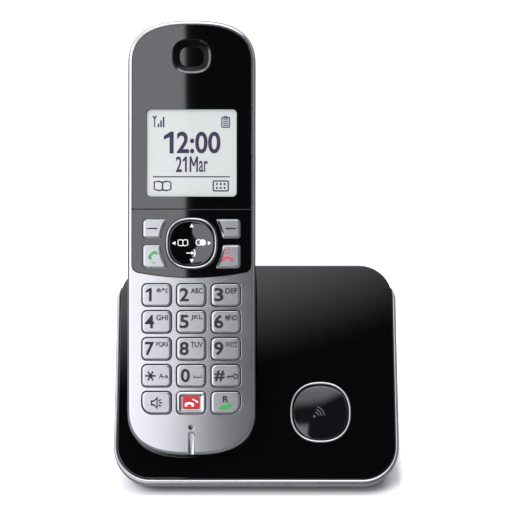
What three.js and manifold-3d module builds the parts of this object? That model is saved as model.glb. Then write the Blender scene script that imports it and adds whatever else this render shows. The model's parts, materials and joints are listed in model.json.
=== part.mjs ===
// Cordless telephone: a handset standing in the cradle of a wedge-shaped desk base.
// Millimetres. +X is the user's right, +Y the back, +Z up, and the desk is at z = 0.
import * as THREE from "three";
import { mergeVertices } from "three/addons/utils/BufferGeometryUtils.js";
import Module from "manifold-3d";

const wasm = await Module();
wasm.setup();

// ---------- driving dimensions ----------
const GAP = 0.3; // clearance between pieces that meet
const BIG = 200; // larger than any piece, for cutting
const DEPTH_OF_ALL = 93; // front edge of the base to the back of the handset

// The handset's own frame: x across, y along from the bottom end, z out of its face.
const HANDSET = {
  width: 48,
  length: 163,
  thickness: 26,
  split: 12.2, // depth of the parting line between the two cases
  cap: 17, // length of each rounded end
  squareness: 2.6, // exponent of the superellipse that closes the ends
  wall: 1.6,
  frontWall: 3.6,
  lean: 65, // degrees between the face and the desk
  x: -24.3,
  behindFront: 2,
  height: 17.3,
};
const TAPER = { startDepth: 14, along: 22 }; // chamfer across the back of the bottom end
const PANEL = { inset: 1.6, depth: 2, seam: 92, bottom: 66.3, corner: 68.2, side: 71.6 };
const DISPLAY = { width: 33.6, height: 32.6, y: 113.1 };
const EARPIECE = { y: 149.4, width: 14.5, height: 12.9, openWidth: 9, openHeight: 7.7 };
const NAV = { y: 79.2, ringOuter: 9.45, ringInner: 8.65, keyRadius: 8.3 };
const DIGIT = {
  width: 10.8,
  height: 8.2,
  corner: 1.7,
  pitchX: 12.9,
  pitchY: 10.05,
  topY: 59.9,
  proud: 0.7,
};
const MENU = {
  inner: 9.3,
  outer: 18,
  follow: 12, // radius of the hollow that follows the ring
  softLow: 81.3,
  softHigh: 88.1,
  callLow: 70.1,
  callHigh: 78.4,
  proud: 0.5,
};
const MICROPHONE = { y: 10.2, radius: 0.9, grooveWidth: 2.4, grooveEnd: 8.9, grooveDepth: 0.5 };
const KEY = { clearance: 0.3, flangeTop: -4, bottom: -4.9 };
const MAT = { top: -6.5, bottom: -7.3 };
const MAIN_BOARD = { top: -8, bottom: -9.2 };
const BAY = { width: 26, low: 30, high: 78.5, floor: 12.6 };
const COVER = { width: 30, low: 26, high: 82, corner: 2.7, thickness: 1.6, travel: 6 };
const CELL = { radius: 5.15, length: 44.5, x: 6.4, y: 54.3, depth: 18.6 };
const LOUDSPEAKER = { y: 122, radius: 9, bottom: -23.9, top: -18 };
const CASE_SCREW = { x: 12, y: 146 };
const TERMINAL = { x: 9, depth: 8.5, width: 4, low: 0.95, high: 1.55 };
const INNER = { low: 14, matHalf: 19, matHigh: 90, boardHalf: 20, boardHigh: 139, behindWall: -3.9 };
const MODULE = { halfWidth: 18.5, low: 95.5, high: 131, bottom: -7.6 };
const SOUND = { earRadius: 7.5, earBottom: -7.2, microphoneRadius: 2.1, microphoneBottom: -5.6 };
const SPRING = { halfWidth: 12.4, high: 78, low: 30.4, thickness: 0.8, bottom: -22, top: -15 };
const SCREW = { slotHalf: 1.6, slotWidth: 0.6, slotDepth: 0.6 };

// The base's face frame: x across, y up the face, z out of it.
const BASE = {
  width: 108,
  length: 85.4,
  lean: 52, // degrees between the face and the desk
  lift: 5, // height of the face's front edge
  corner: 14,
  taper: 0.011, // share of the width lost from the bottom to the top of the trim
  trimDepth: 5,
  trimTop: 76.5,
  faceWidth: 105.2,
  faceBottom: 2.9,
  faceCorner: 12.6,
  faceThickness: 2.2,
  wall: 2,
};
const TUB = { clearance: 0.5, wall: 1.6 };
const LOCATOR = { x: 24.4, y: 28, ringOuter: 11.6, ringInner: 10.6, keyRadius: 10.25 };
const HOUSING = { width: 103.6, bottom: 1.5, rearY: 86, kneeY: 82, kneeZ: 34, topY: 58, topZ: 74 };
const FOOT = { radius: 5, height: 1.9, x: 42, frontY: 19, rearY: 76 };
const BOARD = { bottom: 8, top: 9.6, halfWidth: 32, frontY: 52, rearY: 83 };
const JACK = { bottom: 9.9, frontY: 70, rearY: 83.2, depth: 11 };
const LINE_JACK = { x: 20, width: 13, height: 12.4, openWidth: 9.8, openHeight: 7 };
const POWER_JACK = { x: -14, width: 12, height: 8.4, openWidth: 7, openHeight: 4.6 };
const POSTS = [
  { name: "right", x: 44, y: 40, top: 53 },
  { name: "left", x: -24, y: 44, top: 45 },
];

const frontY = -DEPTH_OF_ALL / 2;

// ---------- materials ----------
function material(color, roughness, metalness = 0) {
  return new THREE.MeshStandardMaterial({ color, roughness, metalness });
}

const silverPlastic = () => material(0xb9bcc0, 0.38, 0.3);
const brightSilver = () => material(0xd5d7da, 0.25, 0.6);
const glossBlack = () => material(0x0c0d10, 0.08);
const mattBlack = () => material(0x1b1c1f, 0.55);
const keySilver = () => material(0xcdd0d3, 0.42, 0.15);
const softRubber = () => material(0x3a3b3d, 0.85);
const boardGreen = () => material(0x1f5a35, 0.5);
const plainSteel = () => material(0xa9adb2, 0.3, 0.9);
const cellSleeve = () => material(0x4d7d54, 0.35);
const clearBlock = () => material(0xdfe5e2, 0.2);

// ---------- solids ----------
// A closed geometry as a solid that can be joined and cut.
function solidOf(geometry) {
  const bare = geometry.clone();
  bare.deleteAttribute("normal");
  bare.deleteAttribute("uv");
  const merged = mergeVertices(bare, 1e-4);
  const mesh = new wasm.Mesh({
    numProp: 3,
    vertProperties: merged.attributes.position.array,
    triVerts: new Uint32Array(merged.index.array),
  });
  return new wasm.Manifold(mesh);
}

function geometryOf(solid) {
  const mesh = solid.getMesh();
  const geometry = new THREE.BufferGeometry();
  geometry.setAttribute("position", new THREE.BufferAttribute(mesh.vertProperties, 3));
  geometry.setIndex(new THREE.BufferAttribute(mesh.triVerts, 1));
  return geometry;
}

// The same solid seen from another frame.
const moved = (solid, matrix) => solidOf(geometryOf(solid).applyMatrix4(matrix));

// A box between two corners.
function box(low, high) {
  const size = high.map((value, i) => value - low[i]);
  const geometry = new THREE.BoxGeometry(...size);
  return solidOf(geometry.translate(...low.map((value, i) => value + size[i] / 2)));
}

// The part of a solid between two heights.
const between = (solid, low, high) => solid.intersect(box([-BIG, -BIG, low], [BIG, BIG, high]));

// A prism of an outline between two heights. round rolls both of its edges.
function prism(outline, bottom, top, round = 0, steps = 1, curve = 3) {
  const geometry = new THREE.ExtrudeGeometry(outline, {
    depth: top - bottom - 2 * round,
    bevelEnabled: round > 0,
    bevelThickness: round,
    bevelSize: round,
    bevelOffset: -round,
    bevelSegments: steps,
    curveSegments: curve,
  });
  return solidOf(geometry.translate(0, 0, bottom + round));
}

// A prism whose front edge alone is rolled.
const cushion = (outline, bottom, top, round, steps = 1, curve = 3) =>
  between(prism(outline, bottom - 2 * round, top, round, steps, curve), bottom, top + 1);

// A cylinder along z.
function disc(radius, bottom, top, x = 0, y = 0, sides = 24) {
  const geometry = new THREE.CylinderGeometry(radius, radius, top - bottom, sides);
  return solidOf(geometry.rotateX(Math.PI / 2).translate(x, y, (top + bottom) / 2));
}

// A body turned about z from pairs of radius and height.
function turned(profile, x, y, sides = 28) {
  const points = profile.map(([radius, height]) => new THREE.Vector2(radius, height));
  const geometry = new THREE.LatheGeometry(points, sides);
  return solidOf(geometry.rotateX(Math.PI / 2).translate(x, y, 0));
}

// ---------- outlines ----------
// A rectangle with its own radius at each corner: top right, top left, bottom left, bottom right.
function roundedRectangle(width, height, radii, x = 0, y = 0) {
  const [topRight, topLeft, bottomLeft, bottomRight] = Array.isArray(radii) ? radii : Array(4).fill(radii);
  const right = x + width / 2;
  const left = x - width / 2;
  const top = y + height / 2;
  const bottom = y - height / 2;
  const quarter = Math.PI / 2;
  const shape = new THREE.Shape();
  shape.absarc(right - topRight, top - topRight, topRight, 0, quarter);
  shape.absarc(left + topLeft, top - topLeft, topLeft, quarter, 2 * quarter);
  shape.absarc(left + bottomLeft, bottom + bottomLeft, bottomLeft, 2 * quarter, 3 * quarter);
  shape.absarc(right - bottomRight, bottom + bottomRight, bottomRight, 3 * quarter, 4 * quarter);
  return shape;
}

// One rounded end of the handset, as points from its right side to its left.
function endCurve(halfWidth, cap, steps = 10) {
  const power = 2 / HANDSET.squareness;
  return Array.from({ length: steps + 1 }, (_, i) => {
    const angle = (Math.PI * i) / steps;
    const across = halfWidth * Math.sign(Math.cos(angle)) * Math.abs(Math.cos(angle)) ** power;
    return new THREE.Vector2(across, cap * Math.abs(Math.sin(angle)) ** power);
  });
}

// The handset's outline, grown all round. extra lengthens it upwards.
function handsetOutline(grow = 0, extra = 0) {
  const curve = endCurve(HANDSET.width / 2 + grow, HANDSET.cap + grow);
  const topStart = HANDSET.length - HANDSET.cap + extra;
  const top = curve.map((p) => new THREE.Vector2(p.x, topStart + p.y));
  const bottom = curve.map((p) => new THREE.Vector2(-p.x, HANDSET.cap - p.y));
  return new THREE.Shape([...top, ...bottom]);
}

// The black panels' outline: the handset's top end, closed by a shallow curve above the digit keys.
function panelOutline(inset) {
  const side = HANDSET.width / 2 - inset;
  const curve = endCurve(side, HANDSET.cap - inset);
  const lift = inset - PANEL.inset;
  const sag = 2 * PANEL.bottom - PANEL.corner;
  const top = HANDSET.length - HANDSET.cap;
  const shape = new THREE.Shape(curve.map((p) => new THREE.Vector2(p.x, top + p.y)));
  shape.lineTo(-side, PANEL.side + lift);
  shape.quadraticCurveTo(-side, PANEL.corner + 0.4 + lift, 2.6 - side, PANEL.corner + lift);
  shape.quadraticCurveTo(0, sag + lift, side - 2.6, PANEL.corner + lift);
  shape.quadraticCurveTo(side, PANEL.corner + 0.4 + lift, side, PANEL.side + lift);
  return shape;
}

// ---------- scene graph ----------
const phone = new THREE.Group();
const faceGroup = new THREE.Group();
faceGroup.position.set(0, frontY, BASE.lift);
faceGroup.rotation.x = THREE.MathUtils.degToRad(BASE.lean);
const handsetGroup = new THREE.Group();
handsetGroup.position.set(HANDSET.x, frontY + HANDSET.behindFront, HANDSET.height);
handsetGroup.rotation.x = THREE.MathUtils.degToRad(HANDSET.lean);
phone.add(faceGroup, handsetGroup);
phone.updateMatrixWorld(true);
const handsetToDesk = handsetGroup.matrixWorld;
const faceToDesk = faceGroup.matrixWorld;
const handsetToFace = faceToDesk.clone().invert().multiply(handsetToDesk);

function add(name, solid, finish, group = handsetGroup) {
  const mesh = new THREE.Mesh(geometryOf(solid), finish);
  mesh.name = name;
  group.add(mesh);
}

// ---------- handset keys ----------
const KEY_ROWS = [
  ["key_1", "key_2", "key_3"],
  ["key_4", "key_5", "key_6"],
  ["key_7", "key_8", "key_9"],
  ["key_star", "key_0", "key_hash"],
  ["speaker_key", "call_block_key", "recall_key"],
];
const BIG_CORNER = 3.8; // the two outer corners at the bottom of the keypad

// The outline of one key of the pad. grow makes the hole that it moves in.
function digitOutline(row, column, grow = 0) {
  const radii = Array(4).fill(DIGIT.corner + grow);
  if (row === 4 && column === 0) radii[2] = BIG_CORNER + grow;
  if (row === 4 && column === 2) radii[3] = BIG_CORNER + grow;
  const x = (column - 1) * DIGIT.pitchX;
  const y = DIGIT.topY - row * DIGIT.pitchY;
  return roundedRectangle(DIGIT.width + 2 * grow, DIGIT.height + 2 * grow, radii, x, y);
}

// A key's cap over the flange that keeps it in the case.
function digitKey(row, column) {
  const cap = cushion(digitOutline(row, column), KEY.bottom, DIGIT.proud, 0.4);
  const x = (column - 1) * DIGIT.pitchX;
  const y = DIGIT.topY - row * DIGIT.pitchY;
  const halfWidth = DIGIT.width / 2 + 0.5;
  const halfHeight = DIGIT.height / 2 + 0.4;
  const low = [x - halfWidth, y - halfHeight, KEY.bottom];
  return cap.add(box(low, [x + halfWidth, y + halfHeight, KEY.flangeTop]));
}

// A key beside the navigation ring, hollowed on its inner side to follow the ring.
function menuBlock(side, low, high, grow, bottom, top, round = 0) {
  const width = MENU.outer - MENU.inner + 2 * grow;
  const x = (side * (MENU.outer + MENU.inner)) / 2;
  const outline = roundedRectangle(width, high - low + 2 * grow, 1.5 + grow, x, (low + high) / 2);
  const block = round > 0 ? cushion(outline, bottom, top, round) : prism(outline, bottom, top);
  return block.subtract(disc(MENU.follow - grow, bottom - 1, top + 1, 0, NAV.y));
}

function menuKey(side, low, high) {
  const cap = menuBlock(side, low, high, 0, KEY.bottom, MENU.proud, 0.4);
  const edges = [side * (MENU.outer + 0.6), side * (MENU.follow + 0.8)].sort((a, b) => a - b);
  return cap.add(box([edges[0], low - 0.4, KEY.bottom], [edges[1], high + 0.4, KEY.flangeTop]));
}

const MENU_KEYS = [
  { name: "soft_key_left", side: -1, low: MENU.softLow, high: MENU.softHigh },
  { name: "soft_key_right", side: 1, low: MENU.softLow, high: MENU.softHigh },
  { name: "talk_key", side: -1, low: MENU.callLow, high: MENU.callHigh },
  { name: "off_key", side: 1, low: MENU.callLow, high: MENU.callHigh },
];

// Every hole that the panel and the case share around the menu keys.
function withMenuHoles(solid) {
  return MENU_KEYS.reduce(
    (left, key) => left.subtract(menuBlock(key.side, key.low, key.high, KEY.clearance, -6, 2)),
    solid,
  );
}

function addKeys() {
  KEY_ROWS.forEach((names, row) => {
    names.forEach((name, column) => add(name, digitKey(row, column), keySilver()));
  });
  for (const key of MENU_KEYS) add(key.name, menuKey(key.side, key.low, key.high), keySilver());
}

function addNavigation() {
  const { ringInner, ringOuter, keyRadius, y } = NAV;
  const rim = (ringInner + ringOuter) / 2;
  const ring = [
    [ringInner, -1.7],
    [ringOuter, -1.7],
    [ringOuter, 0.3],
    [rim, 0.6],
    [ringInner, 0.3],
    [ringInner, -1.7],
  ];
  add("nav_ring", turned(ring, 0, y), brightSilver());
  const key = [
    [0, -3],
    [keyRadius, -3],
    [keyRadius, 0.2],
    [keyRadius - 0.6, 0.55],
    [0, 0.45],
  ];
  add("nav_key", turned(key, 0, y), glossBlack());
  add("nav_rocker", disc(6.5, -5.2, -3.9, 0, y), mattBlack());
}

// ---------- handset casings ----------
// The block that bevels the back of the bottom end. shift moves its face into the handset.
function taperBlock(shift) {
  const drop = HANDSET.thickness - TAPER.startDepth;
  const block = new THREE.BoxGeometry(BIG, BIG, BIG).translate(0, 0, shift - BIG / 2);
  return solidOf(block.rotateX(-Math.atan2(drop, TAPER.along)).translate(0, 0, -TAPER.startDepth));
}

// The handset's body behind a height, grown all round, with its rear edge rolled.
function rearBody(grow, top, extra = 0) {
  const round = 6 + grow;
  const body = prism(handsetOutline(grow, extra), -HANDSET.thickness - grow, top + 2 * round, round, 3);
  return between(body, -BIG, top).subtract(taperBlock(-grow));
}

function frontCase() {
  const inner = prism(handsetOutline(-HANDSET.wall), -HANDSET.split - 1, -HANDSET.frontWall);
  const floor = box([-BIG, -BIG, -BIG], [BIG, 3.4, BIG]);
  let body = cushion(handsetOutline(), -HANDSET.split, 0, 1.3, 2).subtract(inner.subtract(floor));
  for (const side of [-1, 1]) {
    const [x, y] = [side * CASE_SCREW.x, CASE_SCREW.y];
    body = body.add(disc(3.2, -HANDSET.split, -HANDSET.frontWall + 0.5, x, y, 16));
    body = body.subtract(disc(1.3, -HANDSET.split - 1, -5, x, y, 12));
    const reach = TERMINAL.width / 2 + KEY.clearance;
    const low = [side * TERMINAL.x - reach, -1, -TERMINAL.depth - reach];
    body = body.subtract(box(low, [side * TERMINAL.x + reach, 1.85, reach - TERMINAL.depth]));
  }
  body = body.subtract(prism(panelOutline(PANEL.inset), -PANEL.depth, 2));
  KEY_ROWS.forEach((names, row) => {
    names.forEach((name, column) => {
      body = body.subtract(prism(digitOutline(row, column, KEY.clearance), -6, 2));
    });
  });
  body = withMenuHoles(body).subtract(disc(NAV.keyRadius + 0.5, -6, 2, 0, NAV.y));
  const window = roundedRectangle(DISPLAY.width, DISPLAY.height, 1.5, 0, DISPLAY.y);
  const ear = roundedRectangle(EARPIECE.openWidth, EARPIECE.openHeight, 3, 0, EARPIECE.y);
  body = body.subtract(prism(window, -6, 2)).subtract(prism(ear, -6, 2));
  const grooveHalf = MICROPHONE.grooveWidth / 2;
  const grooveLow = [-grooveHalf, -1, -MICROPHONE.grooveDepth];
  const groove = box(grooveLow, [grooveHalf, MICROPHONE.grooveEnd, 1]);
  return body.subtract(groove).subtract(disc(MICROPHONE.radius, -6, 2, 0, MICROPHONE.y, 12));
}

function rearCase() {
  const top = -HANDSET.split - GAP;
  const back = -HANDSET.thickness;
  const ledge = back + COVER.thickness + GAP;
  let body = rearBody(0, top).subtract(rearBody(-HANDSET.wall, top + 1));
  const bayWall = BAY.width / 2 + 1.4;
  body = body.add(box([-bayWall, BAY.low - 1.4, ledge - 0.2], [bayWall, BAY.high + 1.4, -BAY.floor + 1.4]));
  const lipX = COVER.width / 2 + 1.5;
  const lipHigh = [lipX, COVER.high + COVER.travel + 2, ledge + 1.3];
  body = body.add(box([-lipX, COVER.low - 1.5, back + 1], lipHigh));
  for (const side of [-1, 1]) {
    const [x, y] = [side * CASE_SCREW.x, CASE_SCREW.y];
    body = body.add(disc(4, back + 1, top, x, y, 16)).subtract(disc(2.6, back - 1, -21.7, x, y, 16));
    body = body.subtract(disc(1.3, back, top + 1, x, y, 12));
  }
  const halfCover = COVER.width / 2 + GAP;
  const seat = roundedRectangle(
    2 * halfCover,
    COVER.high + COVER.travel - COVER.low + 3 * GAP,
    3,
    0,
    (COVER.high + COVER.travel + COVER.low + GAP) / 2,
  );
  body = body.subtract(prism(seat, back - 1, ledge));
  body = body.subtract(box([-BAY.width / 2, BAY.low, back - 1], [BAY.width / 2, BAY.high, -BAY.floor]));
  for (let slot = -2; slot <= 2; slot++) {
    const y = LOUDSPEAKER.y + 3 * slot;
    body = body.subtract(box([-7, y - 0.6, back - 1], [7, y + 0.6, back + 3]));
  }
  return body;
}

function batteryCover() {
  const back = -HANDSET.thickness;
  const middle = (COVER.high + COVER.low) / 2;
  const outline = roundedRectangle(COVER.width, COVER.high - COVER.low, COVER.corner, 0, middle);
  let cover = prism(outline, back, back + COVER.thickness);
  for (let ridge = 0; ridge < 4; ridge++) {
    const y = COVER.high - 8 - 2.2 * ridge;
    cover = cover.subtract(box([-7, y, back - 1], [7, y + 1, back + 0.5]));
  }
  return cover;
}

function blackPanel() {
  return cushion(panelOutline(PANEL.inset + GAP), GAP - PANEL.depth, 0.1, 0.3, 1);
}

function displayWindow() {
  const recess = roundedRectangle(EARPIECE.width, EARPIECE.height, 5, 0, EARPIECE.y);
  const opening = roundedRectangle(EARPIECE.openWidth, EARPIECE.openHeight, 3, 0, EARPIECE.y);
  const below = box([-BIG, -BIG, -BIG], [BIG, PANEL.seam + GAP / 2, BIG]);
  return blackPanel().subtract(below).subtract(prism(recess, -0.9, 2)).subtract(prism(opening, -6, 2));
}

function navigationPanel() {
  const above = box([-BIG, PANEL.seam - GAP / 2, -BIG], [BIG, BIG, BIG]);
  return withMenuHoles(blackPanel().subtract(above)).subtract(disc(NAV.ringOuter + GAP, -6, 2, 0, NAV.y));
}

// A dry cell lying along y, with its raised end towards the top.
function cell(x) {
  const { radius, length, y, depth } = CELL;
  const profile = [
    [0, -length / 2],
    [radius, -length / 2],
    [radius, length / 2 - 0.9],
    [2, length / 2 - 0.9],
    [2, length / 2],
    [0, length / 2],
  ];
  const points = profile.map(([r, h]) => new THREE.Vector2(r, h));
  return solidOf(new THREE.LatheGeometry(points, 20).translate(x, y, -depth));
}

// A cross-head screw seen head first from below: head at the low end, shank upwards.
function screw(headRadius, shankRadius, head, neck, tip, x, y) {
  const profile = [
    [0, head],
    [headRadius, head],
    [headRadius, neck],
    [shankRadius, neck],
    [shankRadius, tip],
    [0, tip],
  ];
  const [long, half, deep] = [SCREW.slotHalf, SCREW.slotWidth / 2, head + SCREW.slotDepth];
  const slot = box([x - long, y - half, head - 1], [x + long, y + half, deep]);
  const crossSlot = box([x - half, y - long, head - 1], [x + half, y + long, deep]);
  return turned(profile, x, y, 16).subtract(slot).subtract(crossSlot);
}

// The strip across the end of the battery bay that both cells press on.
function springContact(low) {
  const { halfWidth, thickness, bottom, top } = SPRING;
  return box([-halfWidth, low, bottom], [halfWidth, low + thickness, top]);
}

function addHandset() {
  add("front_case", frontCase(), silverPlastic());
  add("display_window", displayWindow(), glossBlack());
  add("navigation_panel", navigationPanel(), glossBlack());
  addNavigation();
  addKeys();
  const { low, matHalf, matHigh, boardHalf, boardHigh, behindWall } = INNER;
  const mat = box([-matHalf, low, MAT.bottom], [matHalf, matHigh, MAT.top]);
  add("keypad_mat", mat, softRubber());
  const board = box([-boardHalf, low, MAIN_BOARD.bottom], [boardHalf, boardHigh, MAIN_BOARD.top]);
  add("main_board", board, boardGreen());
  const moduleLow = [-MODULE.halfWidth, MODULE.low, MODULE.bottom];
  const module = box(moduleLow, [MODULE.halfWidth, MODULE.high, behindWall]);
  add("display_module", module, clearBlock());
  const earpiece = disc(SOUND.earRadius, SOUND.earBottom, behindWall, 0, EARPIECE.y);
  add("earpiece_speaker", earpiece, mattBlack());
  const { microphoneRadius, microphoneBottom } = SOUND;
  const microphone = disc(microphoneRadius, microphoneBottom, behindWall, 0, MICROPHONE.y, 16);
  add("microphone", microphone, plainSteel());
  const { radius, bottom, top, y } = LOUDSPEAKER;
  add("loudspeaker", disc(radius, bottom, top, 0, y), mattBlack());
  add("rear_case", rearCase(), mattBlack());
  add("battery_cover", batteryCover(), mattBlack());
  add("battery_left", cell(-CELL.x), cellSleeve());
  add("battery_right", cell(CELL.x), cellSleeve());
  add("battery_contact_top", springContact(SPRING.high - SPRING.thickness), plainSteel());
  add("battery_contact_bottom", springContact(SPRING.low), plainSteel());
  for (const [side, name] of [[-1, "left"], [1, "right"]]) {
    const x = side * TERMINAL.x;
    const half = TERMINAL.width / 2;
    const plateLow = [x - half, TERMINAL.low, -TERMINAL.depth - half];
    const plate = box(plateLow, [x + half, TERMINAL.high, half - TERMINAL.depth]);
    add("charge_terminal_" + name, plate, plainSteel());
    const caseScrew = screw(2.3, 1, -23.6, -22, -6, side * CASE_SCREW.x, CASE_SCREW.y);
    add("case_screw_" + name, caseScrew, plainSteel());
  }
}

// ---------- base ----------
// The black face's outline, grown all round.
function faceOutline(grow = 0) {
  const height = BASE.length - BASE.faceBottom;
  const middle = (BASE.length + BASE.faceBottom) / 2;
  return roundedRectangle(BASE.faceWidth + 2 * grow, height + 2 * grow, BASE.faceCorner + grow, 0, middle);
}

// The space that the handset needs as it is lifted out, in the face's frame, grown all round.
const cradle = (grow) => moved(rearBody(grow, 40, 60), handsetToFace);

// Both charge contacts pass the end of the tub here.
function contactBlock(side, halfWidth, low, high) {
  const [x, z] = [side * TERMINAL.x, -TERMINAL.depth];
  return box([x - halfWidth, low, z - halfWidth], [x + halfWidth, high, z + halfWidth]);
}

// The screw posts under the face stand upright on the desk.
function facePost(post) {
  const y = frontY + post.y;
  const column = disc(3.5, 20.3, post.top, post.x, y, 16).subtract(disc(1.5, 19, 29, post.x, y, 12));
  return moved(column, faceToDesk.clone().invert());
}

function frontCover() {
  const back = -BASE.faceThickness;
  const inside = prism(faceOutline(-1.5), -9, 0);
  const skirt = prism(faceOutline(), -BASE.trimDepth, back, 0, 1, 5).subtract(inside);
  const region = prism(faceOutline(-0.5), -60, back + 0.5);
  const tub = cradle(TUB.clearance + TUB.wall).intersect(region);
  let cover = cushion(faceOutline(), back, 0, 0.9, 1, 5).add(skirt).add(tub);
  for (const post of POSTS) cover = cover.add(facePost(post).intersect(region));
  const { x, y, ringOuter, keyRadius } = LOCATOR;
  cover = cover.add(disc(ringOuter + 1.8, -4.4, back + 0.2, x, y, 32));
  cover = cover.subtract(disc(ringOuter + GAP, -2.5, 1, x, y, 32));
  cover = cover.subtract(disc(keyRadius + GAP, -6, 1, x, y, 32)).subtract(cradle(TUB.clearance));
  for (const side of [-1, 1]) {
    const way = contactBlock(side, 1.8, -6, 2).add(contactBlock(side, 2.6, -6, -1.85));
    cover = cover.subtract(moved(way, handsetToFace));
  }
  return cover;
}

// The silver trim: an open band round the sides and the bottom of the face, a little narrower at the top.
function trimFrame() {
  const height = BASE.length + 6;
  const outline = roundedRectangle(BASE.width, height, BASE.corner, 0, height / 2);
  const band = geometryOf(cushion(outline, -BASE.trimDepth, -GAP, 0.8, 2, 5));
  const points = band.attributes.position;
  for (let i = 0; i < points.count; i++) {
    points.setX(i, points.getX(i) * (1 - (BASE.taper * points.getY(i)) / BASE.length));
  }
  const above = box([-BIG, BASE.trimTop, -BIG], [BIG, BIG, BIG]);
  return solidOf(band).subtract(prism(faceOutline(GAP), -20, 5, 0, 1, 5)).subtract(above);
}

// The housing's outer shape, shrunk by inset: a side profile carried across the width,
// kept inside the face's rounded outline.
function housingBody(inset, front) {
  const profile = new THREE.Shape();
  const bottom = HOUSING.bottom + inset;
  const rear = HOUSING.rearY - inset;
  profile.moveTo(-10, bottom);
  profile.lineTo(rear - 5, bottom);
  profile.quadraticCurveTo(rear, bottom, rear - 0.6, bottom + 5);
  const knee = HOUSING.kneeY - inset;
  profile.lineTo(knee + 0.6, HOUSING.kneeZ - 5);
  profile.quadraticCurveTo(knee, HOUSING.kneeZ, knee - 3, HOUSING.kneeZ + 5);
  profile.lineTo(HOUSING.topY - inset, HOUSING.topZ);
  profile.lineTo(-10, HOUSING.topZ);
  const width = HOUSING.width - 2 * inset;
  const round = 3;
  const geometry = new THREE.ExtrudeGeometry(profile, {
    depth: width - 2 * round,
    bevelThickness: round,
    bevelSize: round,
    bevelOffset: -round,
    bevelSegments: 2,
    curveSegments: 5,
  });
  geometry.translate(0, 0, round - width / 2);
  const [right, back, up] = [0, 1, 2].map((i) => new THREE.Vector3().setComponent(i, 1));
  geometry.applyMatrix4(new THREE.Matrix4().makeBasis(back, up, right)).translate(0, frontY, 0);
  const length = BASE.length - 2 - 2 * inset;
  const outline = roundedRectangle(width, length, BASE.corner - 2 - inset, 0, BASE.length / 2);
  return solidOf(geometry).intersect(moved(prism(outline, -130, front), faceToDesk));
}

// A socket in the rear wall: its body, the part of the wall cut away for it, and its mouth.
function jackBlock(jack, grow, rearY) {
  const low = [jack.x - jack.width / 2 - grow, frontY + JACK.frontY - grow, JACK.bottom - grow];
  const high = [jack.x + jack.width / 2 + grow, frontY + rearY, JACK.bottom + jack.height + grow];
  return box(low, high);
}

function jack(socket) {
  const middle = JACK.bottom + socket.height / 2;
  const inner = frontY + JACK.rearY - JACK.depth;
  const low = [socket.x - socket.openWidth / 2, inner, middle - socket.openHeight / 2];
  const high = [socket.x + socket.openWidth / 2, inner + 20, middle + socket.openHeight / 2];
  return jackBlock(socket, 0, JACK.rearY).subtract(box(low, high));
}

function rearHousing() {
  let body = housingBody(0, -BASE.trimDepth - GAP).subtract(housingBody(BASE.wall, 5));
  body = body.subtract(moved(cradle(TUB.clearance + TUB.wall + GAP), faceToDesk));
  for (const { x, y } of POSTS) {
    body = body.add(disc(4, HOUSING.bottom, 20, x, frontY + y, 16));
    body = body.subtract(disc(3, 0, 5, x, frontY + y, 16)).subtract(disc(1.5, 0, 22, x, frontY + y, 12));
  }
  for (const socket of [LINE_JACK, POWER_JACK]) body = body.subtract(jackBlock(socket, GAP, 95));
  for (const [x, y] of footPlaces()) {
    body = body.subtract(disc(FOOT.radius + GAP, 0, FOOT.height + GAP, x, y));
  }
  return body;
}

function footPlaces() {
  return [-1, 1].flatMap((side) => [FOOT.frontY, FOOT.rearY].map((y) => [side * FOOT.x, frontY + y]));
}

function addBase() {
  add("base_front_cover", frontCover(), glossBlack(), faceGroup);
  add("base_trim_frame", trimFrame(), silverPlastic(), faceGroup);
  const { x, y, ringOuter, ringInner, keyRadius } = LOCATOR;
  const ring = [
    [ringInner, -2.2],
    [ringOuter, -2.2],
    [ringOuter, 0.2],
    [(ringOuter + ringInner) / 2, 0.5],
    [ringInner, 0.2],
    [ringInner, -2.2],
  ];
  add("locator_ring", turned(ring, x, y, 32), brightSilver(), faceGroup);
  const button = [
    [0, -5.7],
    [keyRadius + 1.1, -5.7],
    [keyRadius + 1.1, -4.8],
    [keyRadius, -4.8],
    [keyRadius, -0.2],
    [keyRadius - 0.7, 0],
    [keyRadius / 2, -0.7],
    [0, -0.9],
  ];
  add("locator_button", turned(button, x, y, 32), glossBlack(), faceGroup);
  add("base_rear_housing", rearHousing(), mattBlack(), phone);
  const boardLow = [-BOARD.halfWidth, frontY + BOARD.frontY, BOARD.bottom];
  const boardHigh = [BOARD.halfWidth, frontY + BOARD.rearY, BOARD.top];
  add("base_board", box(boardLow, boardHigh), boardGreen(), phone);
  add("line_jack", jack(LINE_JACK), mattBlack(), phone);
  add("power_jack", jack(POWER_JACK), mattBlack(), phone);
  for (const [side, name] of [[-1, "left"], [1, "right"]]) {
    const contact = contactBlock(side, 1.5, -2.9, 0.55).add(contactBlock(side, 2.2, -2.9, -2.2));
    add("charge_contact_" + name, contact, plainSteel());
  }
  const footNames = ["foot_front_left", "foot_rear_left", "foot_front_right", "foot_rear_right"];
  footPlaces().forEach(([footX, footY], i) => {
    add(footNames[i], disc(FOOT.radius, 0, FOOT.height, footX, footY, 24), softRubber(), phone);
  });
  for (const post of POSTS) {
    const baseScrew = screw(2.7, 1.2, 2.6, 4.6, 27, post.x, frontY + post.y);
    add("base_screw_" + post.name, baseScrew, plainSteel(), phone);
  }
}

addHandset();
addBase();

export default phone;
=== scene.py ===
"""A cordless telephone standing in its charging base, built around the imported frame.

Local sizes are millimetres in the handset's or the base face's own frame: x across, y along
the face from its lower end, z out of the face. place() turns them into metres in the frame."""
import json
import math

import bmesh
import bpy
from mathutils import Matrix, Vector


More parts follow.
